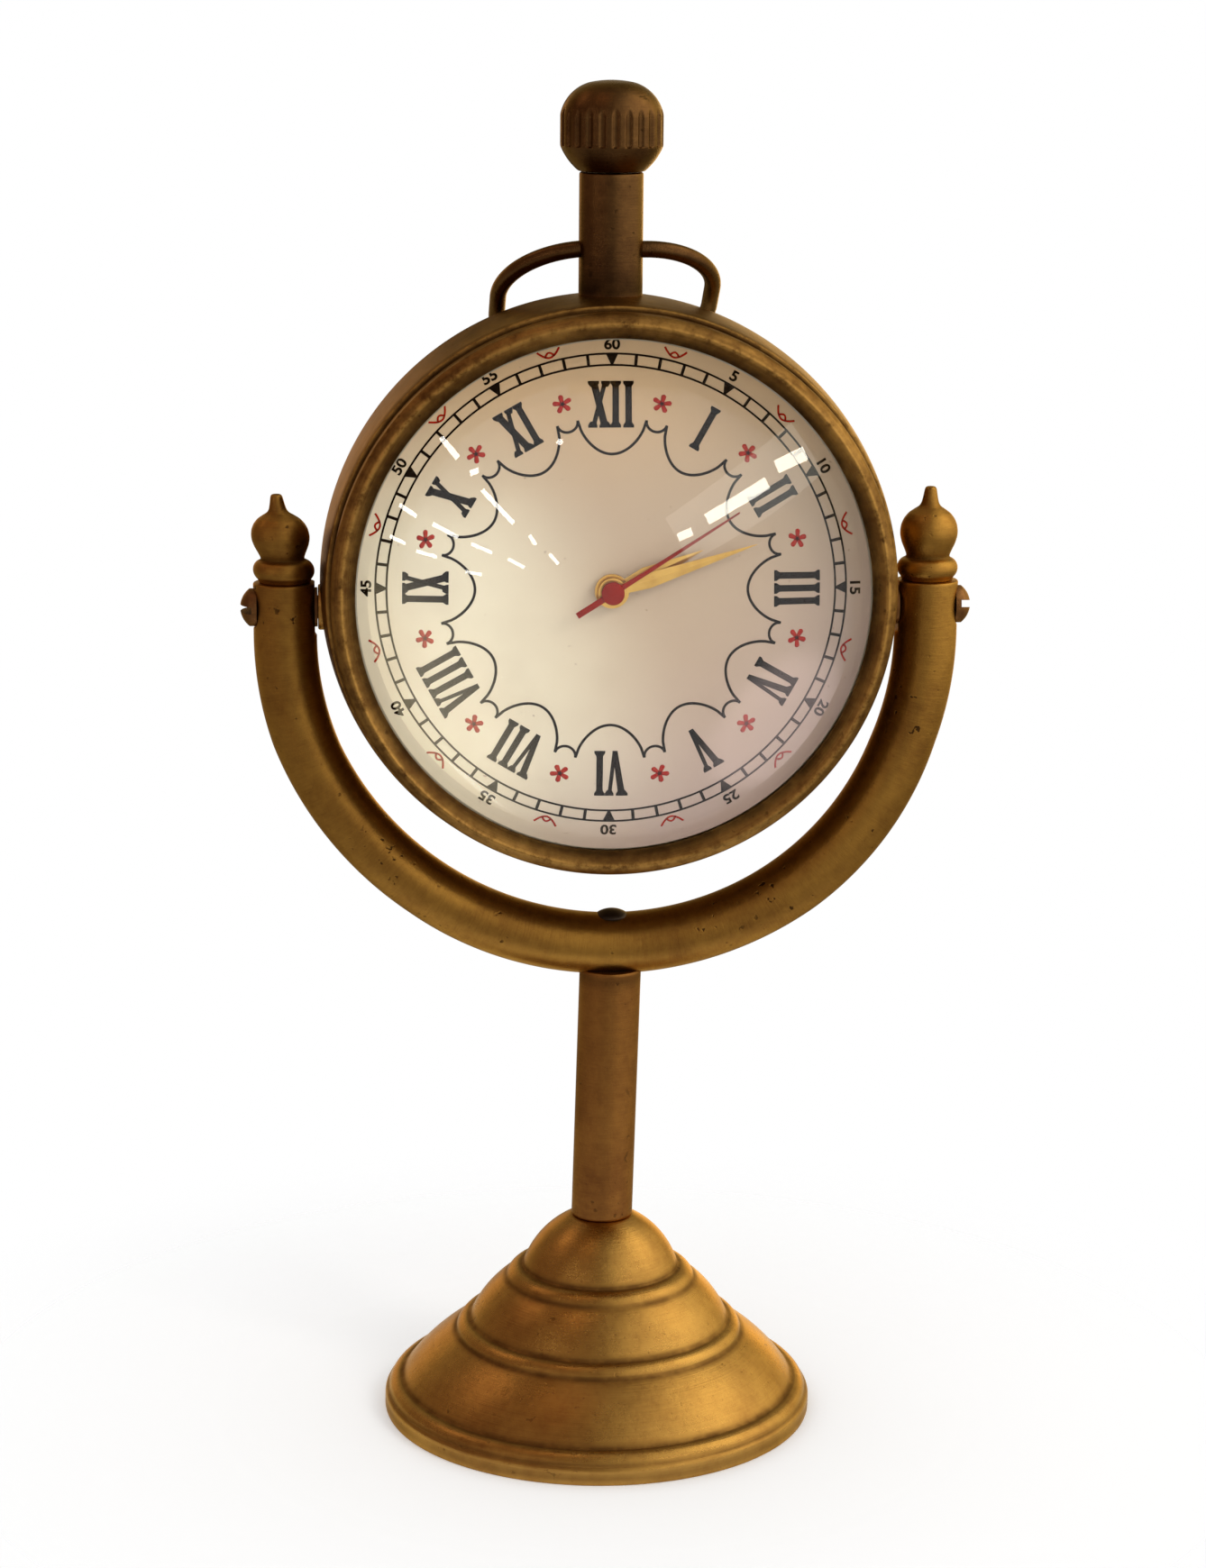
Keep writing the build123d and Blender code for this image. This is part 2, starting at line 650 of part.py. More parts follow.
def make_case_band():
    """Barrel-shaped band with an inner ledge for the dial, a collar for the bezel and two pivot bosses."""
    collar_front = crystal_shoulder + FACE_GAP
    ledge_r = bore_r - LEDGE_W
    band = turned_y(
        Polyline((edge_r, case_front), (collar_r, case_front), (collar_r, collar_front),
                 (bore_r, collar_front), (bore_r, dial_back), (ledge_r, dial_back), (ledge_r, ledge_back),
                 (bore_r, ledge_back), (bore_r, case_back), (edge_r, case_back)),
        ThreePointArc((edge_r, case_back), (case_r, 0), (edge_r, case_front)),
    )
    wall_middle = (bore_r + case_r) / 2
    for side in (-1, 1):
        near, far = sorted((side * wall_middle, side * boss_x))
        band += rod_x(BOSS_D, near, far, pivot_z)
    band -= rod_x(PIVOT_D + 2 * SEAT_FIT, -boss_x, boss_x, pivot_z)
    band -= rod_z(NECK_SPIGOT_D + 2 * SEAT_FIT, case_z + ledge_r, neck_low)
    band -= rod_z(NECK_D + 2 * SEAT_FIT, neck_low, neck_top)
    for spot in ring_screw_spots:
        band -= disc(SCREW_D + 2 * SEAT_FIT, ledge_back - SCREW_L + RING_T, ledge_back, spot)
    return band


def make_bezel():
    """Ring with a rounded crest and an inner slope, on the band's collar and over the crystal's rim."""
    crest = (bezel_r - BEZEL_CREST_INSET, lip_back - BEZEL_CREST_H)
    shoulder = (bezel_r, lip_back - BEZEL_SHOULDER_H)
    lip = (opening_r, lip_back - BEZEL_LIP_T)
    thread_r = collar_r + SEAT_FIT
    foot = case_front - FACE_GAP
    return turned_y(
        Polyline(lip, (opening_r, lip_back), (thread_r, lip_back), (thread_r, foot),
                 (bezel_r, foot), shoulder),
        bulged(crest, shoulder, BEZEL_CREST_BULGE),
        bulged(lip, crest, BEZEL_SLOPE_BULGE),
    )


def make_crystal():
    """Flat-backed magnifying lens with a plain rim and a strongly domed front."""
    rim_r = bore_r - CRYSTAL_FIT
    return turned_y(
        Polyline((0, crystal_front), (0, crystal_back), (rim_r, crystal_back), (rim_r, crystal_shoulder),
                 (dome_r, crystal_shoulder)),
        domed((dome_r, crystal_shoulder), (0, crystal_front)),
    )


def make_dial():
    return disc(dial_d, dial_front, dial_back) - disc(DIAL_HOLE_D, dial_front, dial_back)


def make_spacer_ring():
    return disc(dial_d, crystal_back, dial_front) - disc(dial_d - 2 * SPACER_WALL, crystal_back, dial_front)


def make_back_cover():
    """Domed cover with a skirt that snaps into the band."""
    skirt_r = bore_r - RUN_FIT
    skirt_in = skirt_r - BACK_SKIRT_WALL
    skirt_front = case_back - BACK_SKIRT_H
    flange_back = case_back + BACK_FLANGE_T
    edge_low = (cover_r, flange_back - BACK_EDGE_R)
    edge_top = (cover_r - BACK_EDGE_R, flange_back)
    return turned_y(
        Polyline((0, flange_back + BACK_DOME_H), (0, case_back), (skirt_in, case_back),
                 (skirt_in, skirt_front), (skirt_r, skirt_front), (skirt_r, case_back),
                 (cover_r, case_back), edge_low),
        RadiusArc(edge_low, edge_top, -BACK_EDGE_R),
        domed(edge_top, (0, flange_back + BACK_DOME_H)),
    )


def make_neck():
    """Tube on top of the case for the stem, with a blind hole on each side for the bow."""
    neck = rod_z(NECK_D, neck_low, neck_top)
    neck += rod_z(NECK_SPIGOT_D, case_z + bore_r + FACE_GAP, neck_low)
    neck -= rod_z(2 * stem_bore_r, case_z + bore_r, neck_top)
    hole_d = BOW_WIRE_D + 2 * RUN_FIT
    floor_x = neck_r - BOW_PIN_L - FACE_GAP
    for side in (-1, 1):
        near, far = sorted((side * floor_x, side * NECK_D))
        neck -= rod_x(hole_d, near, far, bow_z)
    return neck


def make_crown():
    """Fluted crown with a rounded shoulder, on the end of the stem."""
    foot_r = CROWN_FOOT_D / 2
    crown_r = CROWN_D / 2
    cap_r = CROWN_CAP_D / 2
    taper_top = CROWN_TAPER_H
    band_top = taper_top + CROWN_BAND_H
    shoulder_top = band_top + CROWN_SHOULDER_H
    crown_top = shoulder_top + CROWN_CAP_H
    crown = turned_z(
        Polyline((0, crown_top), (0, 0), (foot_r, 0)),
        bulged((foot_r, 0), (crown_r, taper_top), CROWN_TAPER_BULGE),
        Line((crown_r, taper_top), (crown_r, band_top)),
        bulged((crown_r, band_top), (cap_r, shoulder_top), CROWN_SHOULDER_BULGE),
        domed((cap_r, shoulder_top), (0, crown_top)),
    )
    flute_x = crown_r + FLUTE_D / 2 - FLUTE_DEPTH
    flute = Pos(flute_x, 0, crown_top / 2) * Cylinder(FLUTE_D / 2, crown_top)
    crown -= [Rot(0, 0, 360 / FLUTES * i) * flute for i in range(FLUTES)]
    return Pos(0, 0, crown_low) * crown - rod_z(STEM_D + 2 * SEAT_FIT, crown_low, crown_low + CROWN_BORE_L)


def make_setting_stem():
    """Long stem from the crown to the movement, with a groove that the setting slide rides in."""
    groove_low = case_z + SLIDE_UP - FACE_GAP
    groove_top = case_z + SLIDE_UP + SLIDE_T + FACE_GAP
    stem = rod_z(STEM_D, case_z + STEM_TAIL_UP, groove_low)
    stem += rod_z(STEM_GROOVE_D, groove_low, groove_top)
    return stem + rod_z(STEM_D, groove_top, crown_low + CROWN_BORE_L - FACE_GAP)


def make_sliding_pinion():
    """Collar on the stem whose upper face carries radial teeth."""
    low = case_z + SLIDING_PINION_UP
    high = low + SLIDING_PINION_L
    pinion = rod_z(SLIDING_PINION_D, low, high)
    notch = Pos(0, 0, high) * Box(SLIDING_PINION_D, SLIDING_NOTCH_W, 2 * SLIDING_NOTCH_H)
    pinion -= [Rot(0, 0, 180 / SLIDING_NOTCHES * i) * notch for i in range(SLIDING_NOTCHES)]
    return pinion - rod_z(STEM_D + 2 * SEAT_FIT, low, high)


def make_setting_slide():
    """Fork in the stem's groove that slides with the stem and doesn't turn."""
    low = case_z + SLIDE_UP
    slot_w = STEM_GROOVE_D + 2 * RUN_FIT
    middle_y = (SLIDE_BACK - SLIDE_FRONT) / 2
    fork = Pos(0, middle_y, low + SLIDE_T / 2) * Box(SLIDE_W, SLIDE_BACK + SLIDE_FRONT, SLIDE_T)
    slot_back = slot_w / 2
    slot_middle = Pos(0, (slot_back - SLIDE_FRONT) / 2, low + SLIDE_T / 2)
    return fork - slot_middle * Box(slot_w, slot_back + SLIDE_FRONT, SLIDE_T)


def make_bow():
    """Wire bow: pins in the neck, rounded corners, straight sides and a half round, leaning on the case."""
    pin_x = neck_r - BOW_PIN_L
    corner_x = bow_half - BOW_CORNER_R
    side_top = BOW_CORNER_R + BOW_SIDE_L
    bend = BOW_CORNER_R * (1 - math.sqrt(0.5))
    wire = Wire(
        [
            Line((-pin_x, 0), (-corner_x, 0)).edge(),
            ThreePointArc((-corner_x, 0), (-bow_half + bend, bend), (-bow_half, BOW_CORNER_R)).edge(),
            Line((-bow_half, BOW_CORNER_R), (-bow_half, side_top)).edge(),
            ThreePointArc((-bow_half, side_top), (0, side_top + bow_half), (bow_half, side_top)).edge(),
            Line((bow_half, side_top), (bow_half, BOW_CORNER_R)).edge(),
            ThreePointArc((bow_half, BOW_CORNER_R), (bow_half - bend, bend), (corner_x, 0)).edge(),
            Line((corner_x, 0), (pin_x, 0)).edge(),
        ]
    )
    bow = sweep(Plane(origin=wire @ 0, z_dir=wire % 0) * Circle(bow_r), wire)
    rest_y = case_back + BACK_FLANGE_T
    rest_drop = bow_z - case_z - math.sqrt(cover_r ** 2 - bow_half ** 2)
    rest_reach = math.hypot(rest_y, rest_drop)
    lean = math.degrees(math.atan2(rest_drop, rest_y) - math.asin((bow_r + BOW_REST_GAP) / rest_reach))
    return Pos(0, 0, bow_z) * Rot(-lean, 0, 0) * bow


def dauphine(length, width):
    """Lozenge hand that points up, widest a little way out from its root."""
    half_root = HAND_ROOT_W / 2
    corners = (
        (-half_root, 0), (half_root, 0), (width / 2, HAND_WIDEST), (0, length), (-width / 2, HAND_WIDEST)
    )
    return make_face(Polyline(*corners, close=True))


def make_hour_hand():
    lozenge = dauphine(HOUR_HAND_L, HOUR_HAND_W)
    hand = flat(lozenge, hour_hand_y, hour_hand_y + HAND_T, turn=HOUR_ANGLE)
    boss_front = hour_hand_y + HAND_T - HAND_BOSS_T
    hand += disc(HOUR_BOSS_D, boss_front, hour_hand_y + HAND_T)
    return hand - disc(2 * (hour_pipe_r + SEAT_FIT), boss_front, hour_hand_y + HAND_T)


def make_minute_hand():
    lozenge = dauphine(MINUTE_HAND_L, MINUTE_HAND_W)
    hand = flat(lozenge, minute_hand_y, minute_hand_y + HAND_T, turn=MINUTE_ANGLE)
    boss_front = minute_hand_y + HAND_T - HAND_BOSS_T
    hand += disc(MINUTE_BOSS_D, boss_front, minute_hand_y + HAND_T)
    return hand - disc(2 * (cannon_pipe_r + SEAT_FIT), boss_front, minute_hand_y + HAND_T)


def make_second_hand():
    """Needle with a straight tail and a round boss."""
    half_tail = SECOND_TAIL_W / 2
    half_tip = SECOND_TIP_W / 2
    corners = (
        (-half_tail, -SECOND_TAIL_L), (half_tail, -SECOND_TAIL_L), (half_tail, 0), (half_tip, SECOND_HAND_L),
        (-half_tip, SECOND_HAND_L), (-half_tail, 0)
    )
    needle = make_face(Polyline(*corners, close=True))
    hand = flat(needle, second_hand_y, second_hand_y + HAND_T, turn=SECOND_ANGLE)
    boss_front = second_hand_y + HAND_T - HAND_BOSS_T
    hand += disc(SECOND_BOSS_D, boss_front, second_hand_y + HAND_T)
    return hand - disc(2 * (arbor_r + SEAT_FIT), boss_front, second_hand_y + HAND_T)


def make_movement_ring():
    """Ring that carries the movement behind the ledge, with a gap for the stem."""
    ring = disc(dial_d, ledge_back, ring_back)
    ring -= disc(MOVEMENT_D + 2 * MOVEMENT_FIT, ledge_back, ring_back)
    gap_high = case_z + bore_r
    ring -= Pos(0, 0, (case_z + gap_high) / 2) * Box(2 * stem_bore_r, 2 * RING_T + DIAL_SEAT_TO_STEM, bore_r)
    for spot in (*ring_screw_spots, *flange_spots):
        ring -= disc(SCREW_D + 2 * SEAT_FIT, ledge_back, ring_back, spot)
    return ring


def screw(head_front, spot):
    """Small cheese-head screw driven from behind."""
    shank = disc(SCREW_D, head_front - SCREW_L, head_front, spot)
    return shank + disc(SCREW_HEAD_D, head_front, head_front + SCREW_HEAD_H, spot)


def make_ring_screws():
    return Compound([screw(ring_back, spot).solid() for spot in ring_screw_spots])


def make_movement_screws():
    return Compound([screw(ring_back + FLANGE_T, spot).solid() for spot in flange_spots])


def make_bridge_screws():
    return Compound([screw(bridge_back, spot).solid() for spot in post_spots])


def make_clip_screw():
    return screw(plate_back + BATTERY_T + CLIP_T, clip_foot_at)


def make_main_plate():
    """Main plate: flange, motion-work recess, bores, posts, stakes and the setting slide's pocket."""
    plate = disc(MOVEMENT_D, plate_front, plate_back)
    plate += disc(2 * flange_r, ring_back, ring_back + FLANGE_T)
    room = 2 * SETTING_MODULE + RECESS_ROOM
    for reach, spot in ((hour_reach, hub), (minute_reach, minute_at), (setting_wheel_reach, setting_at)):
        plate -= disc(2 * (reach + room), plate_front, recess_back, spot)
    stem_up = (STEM_TAIL_UP + flange_r) / 2
    plate -= Pos(0, 0, case_z + stem_up) * Cylinder(stem_bore_r, flange_r - STEM_TAIL_UP + 2 * POCKET_ROOM)
    pinion_room_low = case_z + SLIDING_PINION_UP - POCKET_ROOM
    pinion_room_top = case_z + SLIDING_PINION_UP + SLIDING_PINION_L + CROWN_TRAVEL + POCKET_ROOM
    plate -= rod_z(SLIDING_PINION_D + 2 * POCKET_ROOM, pinion_room_low, pinion_room_top)
    pocket_low = case_z + SLIDE_UP - POCKET_ROOM
    pocket_h = SLIDE_T + CROWN_TRAVEL + 2 * POCKET_ROOM
    pocket_front = -SLIDE_FRONT - POCKET_ROOM
    pocket_depth = plate_back - pocket_front
    plate -= Pos(0, pocket_front + pocket_depth / 2, pocket_low + pocket_h / 2) * Box(
        SLIDE_W + 2 * POCKET_ROOM, pocket_depth, pocket_h
    )
    for spot in post_spots:
        plate += disc(POST_D, plate_back, bridge_front, spot)
    plate += disc(POST_D, plate_back, plate_back + BATTERY_T, clip_foot_at)
    plate += disc(CORE_W, plate_back, plate_back + STATOR_T, core_far_at)
    for spot in (minute_at, setting_at):
        plate += disc(STAKE_D, plate_front + POCKET_ROOM, recess_back, spot)
    plate -= disc(2 * (centre_pipe_r + PIPE_FIT), plate_front, plate_back)
    for spot in (third_at, step_at, rotor_at):
        plate -= disc(ARBOR_D + 2 * PIPE_FIT, plate_back - ARBOR_SEAT_L - FACE_GAP, plate_back, spot)
    for spot in flange_spots:
        plate -= disc(SCREW_D + 2 * SEAT_FIT, ring_back, ring_back + FLANGE_T, spot)
    for spot in post_spots:
        plate -= disc(SCREW_D + 2 * SEAT_FIT, bridge_back - SCREW_L, bridge_front, spot)
    foot_top = plate_back + BATTERY_T
    plate -= disc(SCREW_D + 2 * SEAT_FIT, foot_top + CLIP_T - SCREW_L, foot_top, clip_foot_at)
    return plate


def beyond_chord(front, back):
    """Block that covers the coil's side of the movement, past the bridge's straight edge."""
    block = Box(2 * MOVEMENT_D, back - front, MOVEMENT_D)
    middle = polar(BRIDGE_CHORD + MOVEMENT_D / 2, COIL_TURN)
    return Pos(middle[0], (front + back) / 2, case_z + middle[1]) * Rot(0, 90 - COIL_TURN, 0) * block


def make_train_bridge():
    """Bridge over the train that reaches each of its posts, cut away at the coil and round the battery."""
    bridge = disc(BRIDGE_D, bridge_front, bridge_back)
    for spot in post_spots:
        bridge += strip(hub, spot, POST_D, bridge_front, bridge_back)
    bridge -= beyond_chord(bridge_front, bridge_back)
    bridge -= disc(BATTERY_D + POST_D, bridge_front, bridge_back, battery_at)
    bridge -= strip(battery_at, clip_foot_at, BATTERY_D, bridge_front, bridge_back)
    for spot in (hub, third_at, step_at, rotor_at):
        bridge -= disc(ARBOR_D + 2 * PIPE_FIT, bridge_front, bridge_front + ARBOR_SEAT_L + FACE_GAP, spot)
    for spot in post_spots:
        bridge -= disc(SCREW_D + 2 * SEAT_FIT, bridge_front, bridge_back, spot)
    return bridge


def make_centre_wheel():
    """Wheel of the hour's turn, on a pipe that the second arbor runs through."""
    wheel = gear(CENTRE_TEETH, centre_reach, centre_y, centre_y + WHEEL_T, phase=THIRD_TURN)
    wheel += disc(2 * centre_pipe_r, motion_y - PINION_T, centre_y + WHEEL_T)
    return wheel - disc(2 * centre_pipe_in, motion_y - PINION_T, centre_y + WHEEL_T)


def make_third_wheel():
    phase = meshed_phase(CENTRE_TEETH, THIRD_TURN, THIRD_TURN, THIRD_PINION_TEETH)
    pinion = gear(THIRD_PINION_TEETH, third_pinion_reach, centre_y - FACE_GAP, centre_y + WHEEL_T + FACE_GAP,
                  third_at, phase)
    wheel_phase = meshed_phase(SECOND_PINION_TEETH, THIRD_TURN, THIRD_TURN, THIRD_TEETH)
    wheel = gear(THIRD_TEETH, third_reach, third_y, third_y + WHEEL_T, third_at, wheel_phase)
    return wheel + pinion + disc(ARBOR_D, arbor_low, arbor_high, third_at)


def make_second_wheel():
    """Wheel, pinion and long arbor that carries the second hand."""
    wheel = gear(SECOND_TEETH, second_reach, second_y, second_y + WHEEL_T, phase=STEP_TURN)
    pinion_back = third_y + WHEEL_T + FACE_GAP
    wheel += gear(SECOND_PINION_TEETH, second_pinion_reach, second_y, pinion_back, phase=THIRD_TURN)
    return wheel + disc(ARBOR_D, second_hand_y + HAND_T - HAND_BOSS_T, arbor_high)


def make_step_wheel():
    phase = meshed_phase(SECOND_TEETH, STEP_TURN, STEP_TURN, STEP_PINION_TEETH)
    wheel = gear(STEP_PINION_TEETH, step_pinion_reach, second_y - FACE_GAP, third_y, step_at, phase)
    wheel += gear(STEP_TEETH, step_reach, third_y, third_y + WHEEL_T, step_at, ROTOR_TURN)
    return wheel + disc(ARBOR_D, arbor_low, arbor_high, step_at)


def make_rotor():
    """Magnet and pinion on one arbor."""
    magnet_front = plate_back + MAGNET_LEVEL
    rotor = disc(MAGNET_D, magnet_front, plate_back + STATOR_T, rotor_at)
    phase = meshed_phase(STEP_TEETH, ROTOR_TURN, ROTOR_TURN, ROTOR_TEETH)
    pinion_back = third_y + WHEEL_T + FACE_GAP
    rotor += gear(ROTOR_TEETH, rotor_reach, third_y - FACE_GAP, pinion_back, rotor_at, phase)
    return rotor + disc(ARBOR_D, arbor_low, arbor_high, rotor_at)


def make_cannon_pinion():
    """Friction pipe on the centre wheel's pipe, with the motion work's pinion and the minute hand's seat."""
    pinion = gear(CANNON_TEETH, cannon_reach, motion_y - PINION_T, motion_y, phase=minute_turn)
    front = minute_hand_y + HAND_T - HAND_BOSS_T
    pinion += disc(2 * cannon_pipe_r, front, motion_y)
    pinion -= disc(2 * cannon_pipe_in, motion_y - PINION_T - FACE_GAP, motion_y)
    return pinion - disc(2 * centre_pipe_in, front, motion_y - PINION_T)


def make_minute_wheel():
    wheel_front = motion_y - WHEEL_T
    wheel = gear(MINUTE_TEETH, minute_reach, wheel_front, motion_y, minute_at, minute_phase)
    phase = meshed_phase(HOUR_TEETH, minute_turn, minute_turn, MINUTE_PINION_TEETH)
    wheel += gear(MINUTE_PINION_TEETH, minute_pinion_reach, hour_y - WHEEL_T, wheel_front, minute_at, phase)
    return wheel - disc(STAKE_D + 2 * PIPE_FIT, hour_y - WHEEL_T, motion_y, minute_at)


def make_hour_wheel():
    wheel = gear(HOUR_TEETH, hour_reach, hour_y - WHEEL_T, hour_y, phase=minute_turn)
    front = hour_hand_y + HAND_T - HAND_BOSS_T
    wheel += disc(2 * hour_pipe_r, front, hour_y)
    return wheel - disc(2 * hour_pipe_in, front, hour_y)


def make_setting_wheel():
    phase = meshed_phase(MINUTE_TEETH, minute_phase, setting_turn, SETTING_TEETH)
    wheel = gear(SETTING_TEETH, setting_wheel_reach, motion_y - WHEEL_T, motion_y, setting_at, phase)
    return wheel - disc(STAKE_D + 2 * PIPE_FIT, motion_y - WHEEL_T, motion_y, setting_at)


def strip(start, end, width, front, back):
    """Flat strip with round ends between two spots of the dial plane."""
    length = math.hypot(end[0] - start[0], end[1] - start[1])
    middle = ((start[0] + end[0]) / 2, (start[1] + end[1]) / 2)
    return flat(SlotOverall(length + width, width), front, back, middle, -direction_of(start, end))


def make_stator():
    """Soft-iron plate from the coil's near end to a hole round the rotor."""
    stator_back = plate_back + STATOR_T
    stator = strip(core_near_at, rotor_at, STATOR_W, plate_back, stator_back)
    return stator - disc(MAGNET_D + 2 * STATOR_GAP, plate_back, stator_back, rotor_at)


def make_coil_core():
    core_front = plate_back + STATOR_T
    return strip(core_near_at, core_far_at, CORE_W, core_front, core_front + CORE_T)


def make_coil_winding():
    """Winding as one plain drum round the core."""
    middle_y = plate_back + STATOR_T + CORE_T / 2
    drum = Rot(0, 90, 0) * Cylinder(COIL_D / 2, COIL_L)
    drum = Pos(coil_at[0], middle_y, case_z + coil_at[1]) * Rot(0, 90 - COIL_TURN, 0) * drum
    return drum - make_coil_core()


def make_battery():
    return disc(BATTERY_D, plate_back, plate_back + BATTERY_T, battery_at)


def make_battery_clip():
    front = plate_back + BATTERY_T
    clip = strip(battery_at, clip_foot_at, CLIP_W, front, front + CLIP_T)
    return clip - disc(SCREW_D + 2 * SEAT_FIT, front, front + CLIP_T, clip_foot_at)


board_middle = (BOARD_W / 2 - BOARD_LEFT, BOARD_H / 2 - BOARD_LOW)
board_back = bridge_back + BOARD_T


def make_circuit_board():
    return flat(Rectangle(BOARD_W, BOARD_H), bridge_back, board_back, board_middle)


def make_circuit_chip():
    spot = (board_middle[0] + BOARD_W / 2 - CHIP_W, board_middle[1] - CHIP_W / 2)
    return flat(Rectangle(CHIP_W, CHIP_W), board_back, board_back + CHIP_T, spot)


def make_quartz_can():
    """Small upright can that lies along the board's edge."""
    x = board_middle[0] - BOARD_W / 2 + CAN_D
    return Pos(x, board_back + CAN_D / 2, case_z + board_middle[1]) * Cylinder(CAN_D / 2, CAN_L)


nodes = {
    "base": make_base(),
    "base_washer": make_base_washer(),
    "base_nut": make_base_nut(),
    "pillar": make_pillar(),
    "yoke": make_yoke(),
    "yoke_rivet": make_yoke_rivet(),
    "left_finial": make_finial(-1),
    "right_finial": make_finial(1),
    "left_pivot_screw": make_pivot_screw(-1),
    "right_pivot_screw": make_pivot_screw(1),
    "left_pivot_washer": make_pivot_washer(-1),
    "right_pivot_washer": make_pivot_washer(1),
    "case_band": make_case_band(),
    "bezel": make_bezel(),
    "crystal": make_crystal(),
    "dial": make_dial(),
    "spacer_ring": make_spacer_ring(),
    "back_cover": make_back_cover(),
    "neck": make_neck(),
    "crown": make_crown(),
    "setting_stem": make_setting_stem(),
    "sliding_pinion": make_sliding_pinion(),
    "setting_slide": make_setting_slide(),
    "bow": make_bow(),
    "hour_hand": make_hour_hand(),
    "minute_hand": make_minute_hand(),
    "second_hand": make_second_hand(),
    "movement_ring": make_movement_ring(),
    "ring_screws": make_ring_screws(),
    "movement_screws": make_movement_screws(),
    "bridge_screws": make_bridge_screws(),
    "clip_screw": make_clip_screw(),
    "main_plate": make_main_plate(),
    "train_bridge": make_train_bridge(),
    "centre_wheel": make_centre_wheel(),
    "third_wheel": make_third_wheel(),
    "second_wheel": make_second_wheel(),
    "step_wheel": make_step_wheel(),
    "rotor": make_rotor(),
    "cannon_pinion": make_cannon_pinion(),
    "minute_wheel": make_minute_wheel(),
    "hour_wheel": make_hour_wheel(),
    "setting_wheel": make_setting_wheel(),
    "stator": make_stator(),
    "coil_core": make_coil_core(),
    "coil_winding": make_coil_winding(),
    "battery": make_battery(),
    "battery_clip": make_battery_clip(),
    "circuit_board": make_circuit_board(),
    "circuit_chip": make_circuit_chip(),
    "quartz_can": make_quartz_can(),
}

os.makedirs("parts", exist_ok=True)
for name, shape in nodes.items():
    export_step(shape, f"parts/{name}.step")
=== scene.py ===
import json
import math

import bmesh
import bpy
import numpy as np
from mathutils import Matrix


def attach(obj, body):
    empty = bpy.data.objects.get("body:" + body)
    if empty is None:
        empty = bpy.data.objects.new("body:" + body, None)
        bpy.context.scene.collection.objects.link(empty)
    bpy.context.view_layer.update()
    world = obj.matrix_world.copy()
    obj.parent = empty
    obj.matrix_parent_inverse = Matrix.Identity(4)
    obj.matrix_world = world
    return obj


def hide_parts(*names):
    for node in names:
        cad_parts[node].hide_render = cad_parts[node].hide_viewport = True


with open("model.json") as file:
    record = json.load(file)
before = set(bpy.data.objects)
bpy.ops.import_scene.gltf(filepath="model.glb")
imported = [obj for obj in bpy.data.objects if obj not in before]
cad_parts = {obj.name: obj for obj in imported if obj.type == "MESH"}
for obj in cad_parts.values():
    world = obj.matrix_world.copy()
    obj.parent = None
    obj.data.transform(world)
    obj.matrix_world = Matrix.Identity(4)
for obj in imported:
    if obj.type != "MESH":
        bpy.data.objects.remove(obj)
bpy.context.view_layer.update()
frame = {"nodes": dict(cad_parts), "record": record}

MM = 0.001

# Sizes of the clock in millimetres, the same as the solids
BASE_R = 28.2
BASE_TOP = 26.4
HOLLOW_TOP = 23.9
ROD_R = 4.0
PILLAR_TOP = 60.2
ARM_X = 40.9
BEND_Z = 104.3
YOKE_TOP = 111.1
PIVOT_Z = 107.9
FLAT_X = 37.15
FLAT_LOW = 104.5
SPOT_X = 44.4
SPOT_R = 2.56
CASE_Z = 110.9
CASE_CENTRE = (0, 0, CASE_Z)
BORE_R = 33.0
LIP_R = 32.15
LIP_BACK = -11.75
COVER_R = 35.6
COVER_EDGE = 10.2
NECK_R = 4.0
NECK_LOW = 146.9
NECK_TOP = 162.4
CROWN_LOW = 162.5
CROWN_R = 6.4
BOW_Z = 152.9
BOW_R = 1.05
DIAL_FRONT = -3.5
CRYSTAL_R = 32.8
CRYSTAL_BACK = -8.5
CRYSTAL_SHOULDER = -11.7
CRYSTAL_CURVE = 50.0
DOME_R = 31.95
HOUR_ANGLE = 66.0
MINUTE_ANGLE = 72.0
SECOND_ANGLE = 57.6

# Spacing of points along a section, reach of the average that tells grooves from edges, and the depths at
# which a groove is full of grime and painted shade and an edge is fully worn bare and highlighted
SECTION_STEP = 0.25
HOLLOW_REACH = 1.6
GROOVE_FULL = 0.16
EDGE_FULL = 0.12

WHITE = (1, 1, 1, 1)


# Sections: half outlines given as distance from the axis and height along it
def straight(*corners):
    """Points on the straight runs from corner to corner, about one section step apart."""
    corners = np.array(corners, float)
    runs = []
    for start, end in zip(corners[:-1], corners[1:]):
        count = int(np.hypot(*(end - start)) / SECTION_STEP) + 2
        runs.append(np.linspace(start, end, count))
    return np.concatenate(runs)


def bulged(start, end, bulge, count=40):
    """Points on the circle arc from start to end that stands off the middle of the chord by bulge,
    to the right of the way along: chord middle + R sin(t) along + R (cos(t) - cos(half)) to the right."""
    start, end = np.array(start, float), np.array(end, float)
    along = end - start
    span = np.hypot(*along)
    along /= span
    right = np.array([along[1], -along[0]]) * np.sign(bulge)
    radius = (span ** 2 / 4 + bulge ** 2) / (2 * abs(bulge))
    half = math.atan2(span / 2, radius - abs(bulge))
    turn = np.linspace(-half, half, count)[:, None]
    off_chord = radius * (np.cos(turn) - math.cos(half)) * right
    return (start + end) / 2 + radius * np.sin(turn) * along + off_chord


def domed(edge, tip, count=60):
    """Points on the arc of a sphere centred on the axis, from an edge to the tip on the axis."""
    rise = tip[1] - edge[1]
    radius = (edge[0] ** 2 + rise ** 2) / (2 * abs(rise))
    turn = np.linspace(math.asin(edge[0] / radius), 0, count)
    return np.stack([radius * np.sin(turn), tip[1] - np.sign(rise) * radius * (1 - np.cos(turn))], -1)


